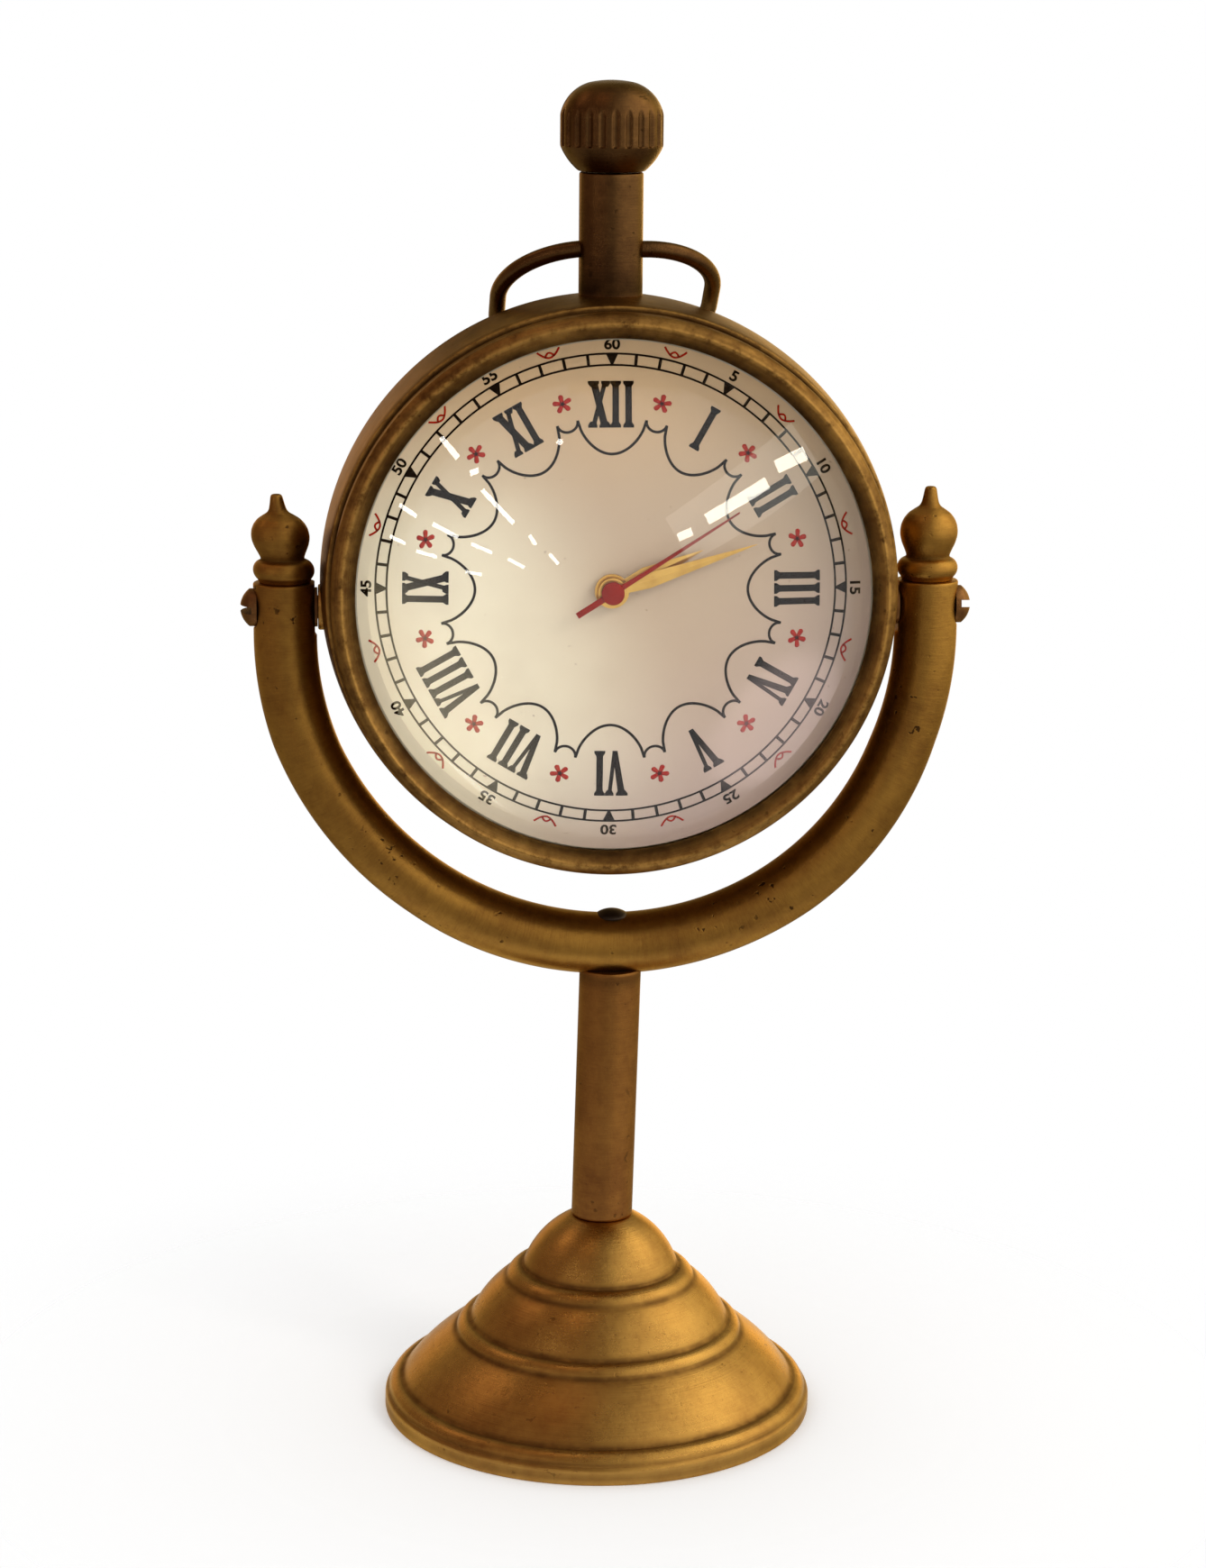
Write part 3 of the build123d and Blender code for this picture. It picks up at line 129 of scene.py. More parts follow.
def slide(points, half, closed):
    """Sliding average of the points over half a window each way; an open row is mirrored at the axis."""
    half = max(1, int(round(half)))
    if closed:
        padded = np.concatenate([points[-half:], points, points[:half]])
    else:
        mirror = np.array([-1.0, 1.0])
        head = points[1:half + 1][::-1] * mirror
        tail = points[-half - 1:-1][::-1] * mirror
        padded = np.concatenate([head, points, tail])
    weights = np.hanning(2 * half + 3)[1:-1]
    weights /= weights.sum()
    return np.stack([np.convolve(padded[:, k], weights, "valid") for k in (0, 1)], -1)


def section(*runs, soft, closed=True, step=SECTION_STEP):
    """Half section as even points: runs joined end to end, spaced a step apart, corners rounded by a
    sliding average. A closed section is a loop, an open one starts and ends on the axis."""
    line = np.concatenate(runs)
    line = line[np.r_[True, np.hypot(*np.diff(line, axis=0).T) > 1e-6]]
    if closed:
        line = np.concatenate([line, line[:1]])
    reach = np.r_[0, np.cumsum(np.hypot(*np.diff(line, axis=0).T))]
    count = int(math.ceil(reach[-1] / step))
    even = np.linspace(0, reach[-1], count + 1)
    if closed:
        even = even[:-1]
    points = np.stack([np.interp(even, reach, line[:, k]) for k in (0, 1)], -1)
    return slide(points, soft / step, closed)


def hollows(points, closed):
    """Depth of each point below a broad sliding average of the section, in millimetres:
    above zero in a groove, below zero on an edge."""
    broad = slide(points, HOLLOW_REACH / SECTION_STEP, closed)
    ahead = np.roll(points, -1, 0) - np.roll(points, 1, 0)
    if not closed:
        ahead[0], ahead[-1] = points[1] - points[0], points[-1] - points[-2]
    right = np.stack([ahead[:, 1], -ahead[:, 0]], -1)
    right /= np.maximum(np.hypot(*right.T), 1e-9)[:, None]
    area = np.sum(points[:, 0] * np.roll(points[:, 1], -1) - np.roll(points[:, 0], -1) * points[:, 1])
    outward = right if area > 0 else -right
    return np.sum((broad - points) * outward, -1)


# Surfaces: grids of points with what the finish needs to know at each point
def ring(count):
    """Even angles round a full turn."""
    return np.linspace(0, 2 * math.pi, count, endpoint=False)


def lathe(points, axis="z", centre=(0, 0, 0), closed=True, grime_and_shade=0.0, *, around):
    """Section carried round an axis: at angle a a point is radius (cos a, sin a) beside the axis.
    Grime and painted shade along the section count as depth."""
    angle = ring(around)
    beside = points[:, :1] * np.cos(angle)
    across = points[:, :1] * np.sin(angle)
    along = points[:, 1:] + 0 * angle
    order = {"z": (beside, across, along), "y": (beside, along, across), "x": (along, beside, across)}[axis]
    depth = (hollows(points, closed) + grime_and_shade)[:, None] + 0 * angle
    run = np.arange(len(points))[:, None] * SECTION_STEP + 0 * angle
    grain = np.stack([np.cos(angle) + 0 * run, np.sin(angle) + 0 * run, run], -1)
    return {"xyz": np.stack(order, -1) + np.array(centre, float), "depth": depth, "grain": grain,
            "loop": (closed, True)}


def tube(path, ahead, side, rings, sides):
    """Circle carried along a path: ring i has its own radius and centre, and at angle a a point is
    centre + radius (cos a across + sin a side), where across is square to the way ahead and to side."""
    angle = ring(sides)[None, :, None]
    across = np.cross(ahead, side)[:, None, :]
    xyz = path[:, None, :] + rings[:, None, None] * (np.cos(angle) * across + np.sin(angle) * side)
    steps = np.linalg.norm(np.diff(path, axis=0), axis=1)
    run = np.r_[0, np.cumsum(steps)][:, None] + 0 * angle[..., 0]
    turn = angle[..., 0] + 0 * run
    grain = np.stack([np.cos(turn), np.sin(turn), run], -1)
    return {"xyz": xyz, "depth": 0 * run, "grain": grain, "loop": (False, True)}


def quads(rows, columns, loop):
    """Corner numbers of the four-sided faces between neighbouring points of a grid."""
    grid = np.arange(rows * columns).reshape(rows, columns)
    if loop[0]:
        grid = np.concatenate([grid, grid[:1]])
    if loop[1]:
        grid = np.concatenate([grid, grid[:, :1]], 1)
    return np.stack([grid[:-1, :-1], grid[1:, :-1], grid[1:, 1:], grid[:-1, 1:]], -1).reshape(-1, 4)


def joined(grids, loops):
    """Points and faces of several grids as one: each grid's corner numbers carry on from the last."""
    faces, start = [], 0
    for grid, loop in zip(grids, loops):
        rows, columns = grid.shape[:2]
        faces.append(quads(rows, columns, loop) + start)
        start += rows * columns
    return np.concatenate([grid.reshape(-1, grid.shape[-1]) for grid in grids]), np.concatenate(faces)


def mesh_of(name, xyz, faces, layers=None):
    """Mesh from points in millimetres and four-sided faces, with values kept at each point."""
    mesh = bpy.data.meshes.new(name)
    mesh.vertices.add(len(xyz))
    mesh.vertices.foreach_set("co", (xyz * MM).ravel())
    mesh.loops.add(faces.size)
    mesh.loops.foreach_set("vertex_index", faces.ravel().astype(np.int32))
    mesh.polygons.add(len(faces))
    mesh.polygons.foreach_set("loop_start", np.arange(0, faces.size, 4, dtype=np.int32))
    mesh.update(calc_edges=True)
    for key, (kind, field, values) in (layers or {}).items():
        mesh.attributes.new(key, kind, "POINT").data.foreach_set(field, values.ravel())
    return mesh


def close_up(mesh, sharp):
    """Merges doubles, turns the faces outwards and shades smooth but for edges past the sharp angle."""
    work = bmesh.new()
    work.from_mesh(mesh)
    bmesh.ops.remove_doubles(work, verts=work.verts, dist=2e-6)
    bmesh.ops.dissolve_degenerate(work, edges=work.edges, dist=1e-7)
    bmesh.ops.recalc_face_normals(work, faces=work.faces)
    work.to_mesh(mesh)
    work.free()
    mesh.shade_smooth()
    mesh.set_sharp_from_angle(angle=math.radians(sharp))


def new_object(name, data):
    """Object in the scene that shows the data."""
    made = bpy.data.objects.new(name, data)
    bpy.context.scene.collection.objects.link(made)
    return made


def place(name, mesh, body, finish, stands_for=()):
    """Object for a finished mesh, riding on its body."""
    piece = new_object(name, mesh)
    mesh.materials.append(FINISHES[finish])
    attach(piece, body)
    if stands_for:
        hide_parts(*stands_for)
    return piece


def add_piece(name, grids, body, slot, stands_for, finish=None, sharp=42):
    """One piece from one or more grids, with groove, edge and grain values for its finish, which is the
    slot's own unless another is given."""
    xyz, faces = joined([grid["xyz"] for grid in grids], [grid["loop"] for grid in grids])
    depth = np.concatenate([grid["depth"].ravel() for grid in grids])
    grain = np.concatenate([grid["grain"].reshape(-1, 3) for grid in grids])
    layers = {
        "groove": ("FLOAT", "value", np.clip(depth / GROOVE_FULL, 0, 1)),
        "edge": ("FLOAT", "value", np.clip(-depth / EDGE_FULL, 0, 1)),
        "grain": ("FLOAT_VECTOR", "vector", grain),
    }
    mesh = mesh_of(name, xyz, faces, layers)
    close_up(mesh, sharp)
    return place(name, mesh, body, finish or slot, stands_for)


# Finishes
class Nodes:
    """Short way to add and link shader nodes in one tree."""

    def __init__(self, tree):
        self.tree = tree

    def link(self, source, target):
        self.tree.links.new(source, target)

    def add(self, kind, values=None, **settings):
        node = self.tree.nodes.new("ShaderNode" + kind)
        for key, value in settings.items():
            setattr(node, key, value)
        for key, value in (values or {}).items():
            if isinstance(value, bpy.types.NodeSocket):
                self.link(value, node.inputs[key])
            else:
                node.inputs[key].default_value = value
        return node

    def math(self, operation, a, b, c=0.0, clamp=False):
        return self.add("Math", {0: a, 1: b, 2: c}, operation=operation, use_clamp=clamp).outputs[0]

    def plus(self, a, b, clamp=False):
        return self.math("ADD", a, b, clamp=clamp)

    def minus(self, a, b):
        return self.math("SUBTRACT", a, b)

    def times(self, a, b, clamp=False):
        return self.math("MULTIPLY", a, b, clamp=clamp)

    def vector(self, operation, a, b=(0, 0, 0), out=0):
        return self.add("VectorMath", {0: a, 1: b}, operation=operation).outputs[out]

    def spot(self):
        return self.add("TexCoord").outputs["Object"]

    def noise(self, vector, scale, detail=3.0, rough=0.55):
        values = {"Vector": vector, "Scale": scale, "Detail": detail, "Roughness": rough}
        return self.add("TexNoise", values).outputs["Fac"]

    def step(self, value, low, high):
        values = {"Value": value, "From Min": low, "From Max": high}
        return self.add("MapRange", values, interpolation_type="SMOOTHSTEP").outputs["Result"]

    def toward(self, point, way, low, high):
        """Soft step along a way, from low to high."""
        return self.step(self.vector("DOT_PRODUCT", point, way, "Value"), low, high)

    def mix(self, factor, first, second):
        return self.add("Mix", {0: factor, 6: first, 7: second}, data_type="RGBA").outputs[2]

    def relief(self, height, depth):
        """Normal of a surface raised by the height, with its depth in millimetres."""
        return self.add("Bump", {"Height": height, "Distance": depth * MM}).outputs[0]


FLOAT, COLOUR = "NodeSocketFloat", "NodeSocketColor"


def effect_group(name, inputs):
    """Empty effect group for colour, roughness and height: its nodes helper and what it is given."""
    tree = bpy.data.node_groups.new(name, "ShaderNodeTree")
    for key, value in inputs.items():
        kind = FLOAT if isinstance(value, float) else COLOUR
        tree.interface.new_socket(key, in_out="INPUT", socket_type=kind).default_value = value
    for key, kind in (("Color", COLOUR), ("Roughness", FLOAT), ("Height", FLOAT)):
        tree.interface.new_socket(key, in_out="OUTPUT", socket_type=kind)
    return Nodes(tree), tree.nodes.new("NodeGroupInput").outputs


def put_out(nodes, colour, rough, height):
    """Ends an effect group with what it puts out, and returns its tree."""
    ends = nodes.tree.nodes.new("NodeGroupOutput").inputs
    for key, socket in (("Color", colour), ("Roughness", rough), ("Height", height)):
        nodes.link(socket, ends[key])
    return nodes.tree


def make_aged_brass():
    """Worn brass: a fine mottle and faint clouds between a dark and a bright tone, turning marks along the
    grain, soft brown grime and painted shade in the grooves, worn edges that also carry painted highlights,
    and a few small dark pits."""
    nodes, given = effect_group("aged_brass", {
        "Bright": (0.5, 0.3, 0.1, 1), "Dark": (0.15, 0.08, 0.03, 1), "Dirt": (0.02, 0.012, 0.006, 1),
        "Tarnish": 0.5, "Groove Dirt": 0.8, "Edge Wear": 0.5, "Pits": 0.5, "Rough": 0.3, "Seed": 0.0})
    shift = nodes.add("CombineXYZ", {axis: given["Seed"] for axis in range(3)}).outputs[0]
    spot = nodes.vector("ADD", nodes.spot(), shift)
    grain = nodes.add("Attribute", attribute_name="grain").outputs["Vector"]
    edge = nodes.add("Attribute", attribute_name="edge").outputs["Fac"]
    groove = nodes.add("Attribute", attribute_name="groove").outputs["Fac"]
    clouds = nodes.noise(spot, 95.0, 4.0, 0.6)
    mottle = nodes.noise(spot, 700.0, 5.0, 0.7)
    marks = nodes.noise(nodes.vector("MULTIPLY", grain, (1.6, 1.6, 5.0)), 1.0, 4.0, 0.75)
    tone = nodes.times(clouds, 0.85)
    tone = nodes.plus(tone, nodes.times(mottle, 0.45))
    tone = nodes.plus(tone, nodes.times(marks, 0.35))
    tone = nodes.step(nodes.minus(tone, given["Tarnish"]), 0.08, 0.78)
    colour = nodes.mix(tone, given["Dark"], given["Bright"])
    # Worn edges; on the bezel's crest they also carry a painted highlight
    rubbed_and_highlit = nodes.times(nodes.times(edge, given["Edge Wear"]), nodes.step(mottle, 0.3, 0.62))
    colour = nodes.mix(rubbed_and_highlit, colour, given["Bright"])
    patchy = nodes.step(nodes.noise(spot, 260.0, 4.0), 0.3, 0.6)
    patchy = nodes.math("MULTIPLY_ADD", patchy, 0.4, 0.6)
    # Grooves take the grime colour; the painted shade that pieces add to their grooves comes through here too
    caked_and_shaded = nodes.times(nodes.times(groove, patchy), given["Groove Dirt"], clamp=True)
    colour = nodes.mix(caked_and_shaded, colour, given["Dirt"])
    pits = nodes.step(nodes.noise(spot, 900.0, 2.0, 0.5), 0.66, 0.72)
    pits = nodes.times(pits, nodes.step(nodes.noise(spot, 130.0), 0.45, 0.62))
    pits = nodes.times(pits, given["Pits"], clamp=True)
    colour = nodes.mix(pits, colour, given["Dirt"])
    rough = nodes.plus(given["Rough"], nodes.times(nodes.minus(1.0, tone), 0.1))
    rough = nodes.plus(rough, nodes.times(nodes.minus(mottle, 0.5), 0.2))
    rough = nodes.plus(rough, nodes.times(caked_and_shaded, 0.3), clamp=True)
    height = nodes.plus(nodes.times(mottle, 0.6), nodes.times(marks, 0.5))
    return put_out(nodes, colour, rough, nodes.minus(height, pits))


def make_speckle():
    """Soft clouds and fine specks over a plain tone, for ink, gilding, plastic and plated metal."""
    nodes, given = effect_group("speckle", {
        "Tone": (0.8, 0.8, 0.8, 1), "Stain": (0.5, 0.4, 0.3, 1), "Clouds": 0.2, "Specks": 0.2,
        "Size": 300.0, "Rough": 0.5})
    spot = nodes.spot()
    clouds = nodes.step(nodes.noise(spot, given["Size"], 5.0, 0.6), 0.35, 0.75)
    clouds = nodes.times(clouds, given["Clouds"])
    fine = nodes.noise(spot, 4200.0, 2.0, 0.6)
    specks = nodes.times(nodes.step(fine, 0.64, 0.74), given["Specks"])
    colour = nodes.mix(clouds, given["Tone"], given["Stain"])
    colour = nodes.mix(specks, colour, given["Stain"])
    rough = nodes.plus(given["Rough"], nodes.times(clouds, 0.2), clamp=True)
    return put_out(nodes, colour, rough, fine)


AGED_BRASS = make_aged_brass()
SPECKLE = make_speckle()


def new_material(name):
    """Material with a Principled shader, its nodes helper and the shader's sockets."""
    made = bpy.data.materials.new(name)
    made.use_nodes = True
    return made, Nodes(made.node_tree), made.node_tree.nodes["Principled BSDF"].inputs


def set_values(sockets, values):
    """Constants set on sockets, named with _ for a space."""
    for key, value in values.items():
        sockets[key.replace("_", " ")].default_value = value


def material(name, effect, values, bump=0.0, **shader):
    """Principled material whose colour, roughness and relief come from a placed effect group."""
    made, nodes, skin = new_material(name)
    placed = nodes.add("Group", node_tree=effect)
    set_values(placed.inputs, values)
    nodes.link(placed.outputs["Color"], skin["Base Color"])
    nodes.link(placed.outputs["Roughness"], skin["Roughness"])
    if bump:
        nodes.link(nodes.relief(placed.outputs["Height"], bump), skin["Normal"])
    set_values(skin, shader)
    return made


def srgb(red, green, blue):
    """Linear colour of a tone given in the usual 0 to 255 steps."""
    tone = np.array([red, green, blue]) / 255
    linear = np.where(tone <= 0.04045, tone / 12.92, ((tone + 0.055) / 1.055) ** 2.4)
    return (*linear.tolist(), 1.0)


def brass(name, bright, dark, grime_and_shade, seed, **values):
    """Aged brass with its own tones. Its tint keeps reflections at a low angle warm."""
    tones = {"Bright": srgb(*bright), "Dark": srgb(*dark), "Dirt": srgb(*grime_and_shade), "Seed": seed}
    return material(name, AGED_BRASS, {**tones, **values}, bump=0.06, Metallic=1.0,
                    Specular_Tint=(0.95, 0.77, 0.52, 1))


def make_dial_paint_and_light():
    """Aged cream paint with painted light: a lighter warm tan above against the lens's shade, paler toward
    the lower left as a painted pool of light, a little pink toward the lower right as painted shade, with
    faint clouds and brown specks. Each tone sets in along its way from the dial's centre."""
    made, nodes, skin = new_material("dial paint and painted light")
    spot = nodes.spot()
    centred = nodes.vector("ADD", spot, (0, 0, -CASE_Z * MM))
    colour = srgb(202, 177, 148)
    # Painted light: a pool of light at the lower left, pink shade at the lower right, a lighter top against
    # the lens's shade
    for way, low, high, tone in (((-0.9, 0, -0.43), -5.0, 15.0, (255, 243, 212)),
                                 ((0.6, 0, -0.8), 4.0, 32.0, (204, 177, 166)),
                                 ((-0.1, 0, 1.0), 5.0, 29.0, (228, 190, 140))):
        colour = nodes.mix(nodes.toward(centred, way, low * MM, high * MM), colour, srgb(*tone))
    clouds = nodes.times(nodes.step(nodes.noise(spot, 60.0, 5.0), 0.4, 0.75), 0.25)
    colour = nodes.mix(clouds, colour, srgb(188, 162, 132))
    specks = nodes.times(nodes.step(nodes.noise(spot, 900.0, 2.0), 0.72, 0.78), 0.5)
    colour = nodes.mix(specks, colour, srgb(150, 112, 84))
    nodes.link(colour, skin["Base Color"])
    nodes.link(nodes.math("MULTIPLY_ADD", nodes.noise(spot, 1500.0), 0.2, 0.5), skin["Roughness"])
    return made


def make_crystal_glass():
    """Clear smooth glass with the faintest smears on its surface."""
    made, nodes, skin = new_material("crystal glass")
    nodes.link(nodes.relief(nodes.noise(nodes.spot(), 140.0, 2.0), 0.004), skin["Normal"])
    set_values(skin, {"Base Color": WHITE, "Roughness": 0.0, "Transmission Weight": 1.0, "IOR": 1.5})
    return made


# Every finish by its slot; the pillar, the rivet and the two inks have their own
FINISHES = {
    "base_brass": brass("base brass", (178, 136, 68), (134, 93, 45), (80, 51, 26), 0.1,
                        Tarnish=0.3, Rough=0.25),
    "stand_brass": brass("stand brass", (172, 128, 58), (124, 84, 38), (54, 34, 17), 0.3,
                         Tarnish=0.35, Rough=0.33, Pits=0.9),
    # Painted shade: a darker, redder copy of the stand brass for the pillar
    "shaded_pillar_brass": brass("shaded pillar brass", (158, 110, 54), (112, 70, 36), (46, 32, 20), 0.4,
                          Tarnish=0.36, Rough=0.33),
    "rivet_metal": brass("rivet metal", (84, 74, 66), (48, 42, 40), (26, 22, 20), 0.6,
                         Tarnish=0.4, Rough=0.4),
    "screw_brass": brass("screw brass", (140, 98, 58), (84, 54, 32), (44, 28, 16), 0.5,
                         Tarnish=0.4, Rough=0.36),
    # Full groove and edge amounts also carry the bezel's painted shade and painted highlight
    "case_brass": brass("case brass", (184, 140, 74), (92, 62, 31), (40, 25, 12), 0.7,
                        Tarnish=0.53, Rough=0.28, Groove_Dirt=1.0, Edge_Wear=1.0),
    "neck_brass": brass("neck brass", (112, 80, 45), (68, 44, 26), (28, 19, 12), 0.9,
                        Tarnish=0.4, Rough=0.2),
    "dial_print": make_dial_paint_and_light(),
}

# Slot, name, tone, stain, clouds, specks, size of the clouds, roughness, bump and other shader values
MATT, METAL = {"Specular_IOR_Level": 0.0}, {"Metallic": 1.0}
SPECKLED = (
    ("black_ink", "black ink", (16, 9, 4), (48, 32, 20), 0.35, 0.4, 700.0, 0.8, 0.0, MATT),
    ("red_ink", "red ink", (182, 26, 12), (200, 78, 48), 0.4, 0.3, 700.0, 0.8, 0.0, MATT),
    ("hand_gold", "hand gold", (222, 178, 92), (170, 118, 50), 0.4, 0.4, 500.0, 0.3, 0.0, METAL),
    ("hand_red", "hand red", (150, 22, 4), (112, 16, 3), 0.5, 0.3, 500.0, 0.6, 0.0, MATT),
    ("spacer_metal", "spacer metal", (200, 190, 168), (150, 130, 96), 0.4, 0.3, 200.0, 0.4, 0.0,
     {"Metallic": 0.6}),
    ("steel", "plated steel", (178, 176, 170), (112, 104, 92), 0.6, 0.5, 300.0, 0.32, 0.01, METAL),
    ("movement_plastic", "moulded ring", (226, 222, 210), (190, 180, 158), 0.4, 0.2, 200.0, 0.5, 0.01, {}),
    ("movement_brass", "movement brass", (206, 170, 92), (150, 110, 52), 0.4, 0.3, 300.0, 0.3, 0.01, METAL),
    ("coil_copper", "coil copper", (186, 104, 62), (120, 60, 34), 0.5, 0.4, 900.0, 0.35, 0.02, METAL),
    ("circuit_plastic", "circuit board", (46, 82, 52), (26, 50, 32), 0.5, 0.4, 500.0, 0.5, 0.01, {}),
)
for slot, name, tone, stain, clouds, specks, size, rough, bump, shader in SPECKLED:
    values = {"Tone": srgb(*tone), "Stain": srgb(*stain), "Clouds": clouds, "Specks": specks,
              "Size": size, "Rough": rough}
    FINISHES[slot] = material(name, SPECKLE, values, bump, **shader)
FINISHES["crystal_glass"] = make_crystal_glass()
for part in frame["record"]["subparts"]:
    for holder in frame["nodes"][part["node"]].material_slots:
        holder.material = FINISHES[part["material_slot"]]


# Stand: spun base, pillar, yoke, rivet, finials and pivot screws
def hand_lean(grid):
    """Sets the stand a little out of true, as a hand-fitted one is: x moves by a share of a millimetre
    that depends on the height alone, so pieces that touch stay together."""
    heights, shifts = (0, BASE_TOP, PILLAR_TOP, 68, 90), (-0.6, -0.1, 0.75, 0.9, 0)
    grid["xyz"][..., 0] += np.interp(grid["xyz"][..., 2], heights, shifts)
    return grid


def make_base():
    """Three bells with a bead at the foot of each, a rim below and a hollow inside. Grime lies where they
    join: its depth falls off as exp(-(distance / 0.6)^2). Up to 2.6 mm high the rim is darkened as painted
    shade."""
    bells = [(27.75, 2.55), (25.95, 3.95), (18.9, 10.55), (17.15, 12.1), (12.45, 17.85), (10.3, 19.35),
             (ROD_R, BASE_TOP)]
    bulges = (0.45, 0.5, 0.45, 0.5, 0.45, 1.0)
    outside = [bulged(*run) for run in zip(bells, bells[1:], bulges)]
    inside = straight(bells[-1], (2.52, BASE_TOP), (2.52, HOLLOW_TOP), (5.9, HOLLOW_TOP), (8.89, 17.94),
                      (15.74, 10.69), (24.54, 2.54), (26.2, 0), (BASE_R, 0), (BASE_R, 2.1), bells[0])
    points = section(*outside, inside, soft=0.26)
    joints = np.array(bells[:-1])
    away = np.hypot(points[:, :1] - joints[:, 0], points[:, 1:] - joints[:, 1]).min(1)
    # Grime at the joints; the second term darkens the rim as painted shade
    grime_and_shade = 0.08 * np.exp(-(away / 0.6) ** 2) + np.interp(points[:, 1], (0, 2.2, 2.6), (0.12, 0.08, 0))
    grid = hand_lean(lathe(points, grime_and_shade=grime_and_shade, around=220))
    add_piece("base_bells", [grid], "stand", "base_brass", ("base",))


def make_pillar():
    """Plain round pillar over its stud, darker toward the top under the yoke and dirty at the foot."""
    points = section(straight((0, 18.0), (2.4, 18.0), (2.5, 18.2), (2.5, BASE_TOP), (ROD_R, BASE_TOP),
                              (ROD_R, PILLAR_TOP), (0, PILLAR_TOP)), soft=0.15, closed=False)
    # Darker toward the top under the yoke; grime at the foot
    grime_and_shade = np.interp(points[:, 1], (BASE_TOP, 27.4, 57.6, 60.0), (0.12, 0, 0, GROOVE_FULL))
    grid = hand_lean(lathe(points, closed=False, grime_and_shade=grime_and_shade, around=96))
    add_piece("pillar_rod", [grid], "stand", "stand_brass", ("pillar",), "shaded_pillar_brass")


def make_yoke():
    """Rod carried down one arm, round the half circle and up the other arm, with flats inside the arms,
    spot faces for the screws, a seat on the pillar and turned-in ends."""
    ends = np.array([(0, -6.0), (2.32, -6.0), (2.32, 0), (3.8, 0), (3.93, -0.06), (ROD_R, -0.2)])
    arm = np.linspace(YOKE_TOP - 0.4, BEND_Z, 28)
    turn = np.linspace(0, math.pi, 420)[1:-1]
    down = np.stack([-ARM_X + 0 * arm, 0 * arm, arm], -1)
    bend = np.stack([-ARM_X * np.cos(turn), 0 * turn, BEND_Z - ARM_X * np.sin(turn)], -1)
    cap = np.stack([-ARM_X + 0 * ends[:, 0], 0 * ends[:, 0], YOKE_TOP + ends[:, 1]], -1)
    half = np.concatenate([cap, down])
    other = half[::-1] * np.array([-1, 1, 1])
    path = np.concatenate([half, bend, other])
    rings = np.concatenate([ends[:, 0], np.full(len(down) + len(bend) + len(down), ROD_R), ends[::-1, 0]])
    ahead = np.concatenate([np.tile([0, 0, -1.0], (len(half), 1)),
                            np.stack([np.sin(turn), 0 * turn, -np.cos(turn)], -1),
                            np.tile([0, 0, 1.0], (len(half), 1))])
    grid = tube(path, ahead, np.array([0, 1.0, 0]), rings, 96)
    x, y, z = (grid["xyz"][..., k] for k in range(3))
    x = np.where((z > FLAT_LOW) & (np.abs(x) < FLAT_X), np.sign(x) * FLAT_X, x)
    spot = (np.abs(x) > SPOT_X) & (y ** 2 + (z - PIVOT_Z) ** 2 < SPOT_R ** 2)
    x = np.where(spot, np.sign(x) * SPOT_X, x)
    z = np.where((x ** 2 + y ** 2 < (ROD_R + 0.02) ** 2) & (z < PILLAR_TOP), PILLAR_TOP, z)
    grid["xyz"] = np.stack([x, y, z], -1)
    add_piece("yoke_rod", [hand_lean(grid)], "stand", "stand_brass", ("yoke",))


def make_rivet():
    """Low domed head on a plain shank, at the bottom of the yoke's bend."""
    edge = (2.2, 67.25)
    points = section(straight((0, 49.9), (1.5, 49.9), (1.5, 66.9), (2.2, 66.9), edge),
                     domed(edge, (0, 68.0)), soft=0.12, closed=False)
    grid = hand_lean(lathe(points, closed=False, around=64))
    add_piece("yoke_rivet_head", [grid], "stand", "screw_brass", ("yoke_rivet",), "rivet_metal")


def make_finial(name, side, lean, tall, node):
    """Collar, neck, onion ball and blunt tip turned in one piece, leaning out a little: x shifts by the
    height times the tangent of the lean, and the ball and tip are stretched upward by their own share."""
    foot, top, lean_low, ball_low = (3.3, 0.4), (3.3, 2.7), 0.3, 2.9
    onion = [(2.72, 2.95), (2.75, 3.2), (3.05, 3.9), (3.42, 4.7), (3.64, 5.5), (3.68, 6.1), (3.56, 6.9),
             (3.25, 7.6), (2.72, 8.25), (2.0, 8.75), (1.4, 9.1), (1.12, 9.5), (0.95, 10.2), (0.82, 10.9),
             (0.72, 11.4), (0.55, 11.55), (0, 11.55)]
    points = section(straight((0, -6.0), (2.3, -6.0), (2.3, 0), (3.3, 0), foot), bulged(foot, top, 0.58),
                     straight(top, *onion), soft=0.3, closed=False, step=0.16)
    grid = lathe(points, centre=(side * ARM_X, 0, YOKE_TOP), closed=False, around=72)
    grid["xyz"][..., 2] += (tall - 1) * np.maximum(grid["xyz"][..., 2] - YOKE_TOP - ball_low, 0)
    height = np.maximum(grid["xyz"][..., 2] - YOKE_TOP - lean_low, 0)
    grid["xyz"][..., 0] += side * height * math.tan(math.radians(lean))
    add_piece(name, [grid], "stand", "stand_brass", (node,))


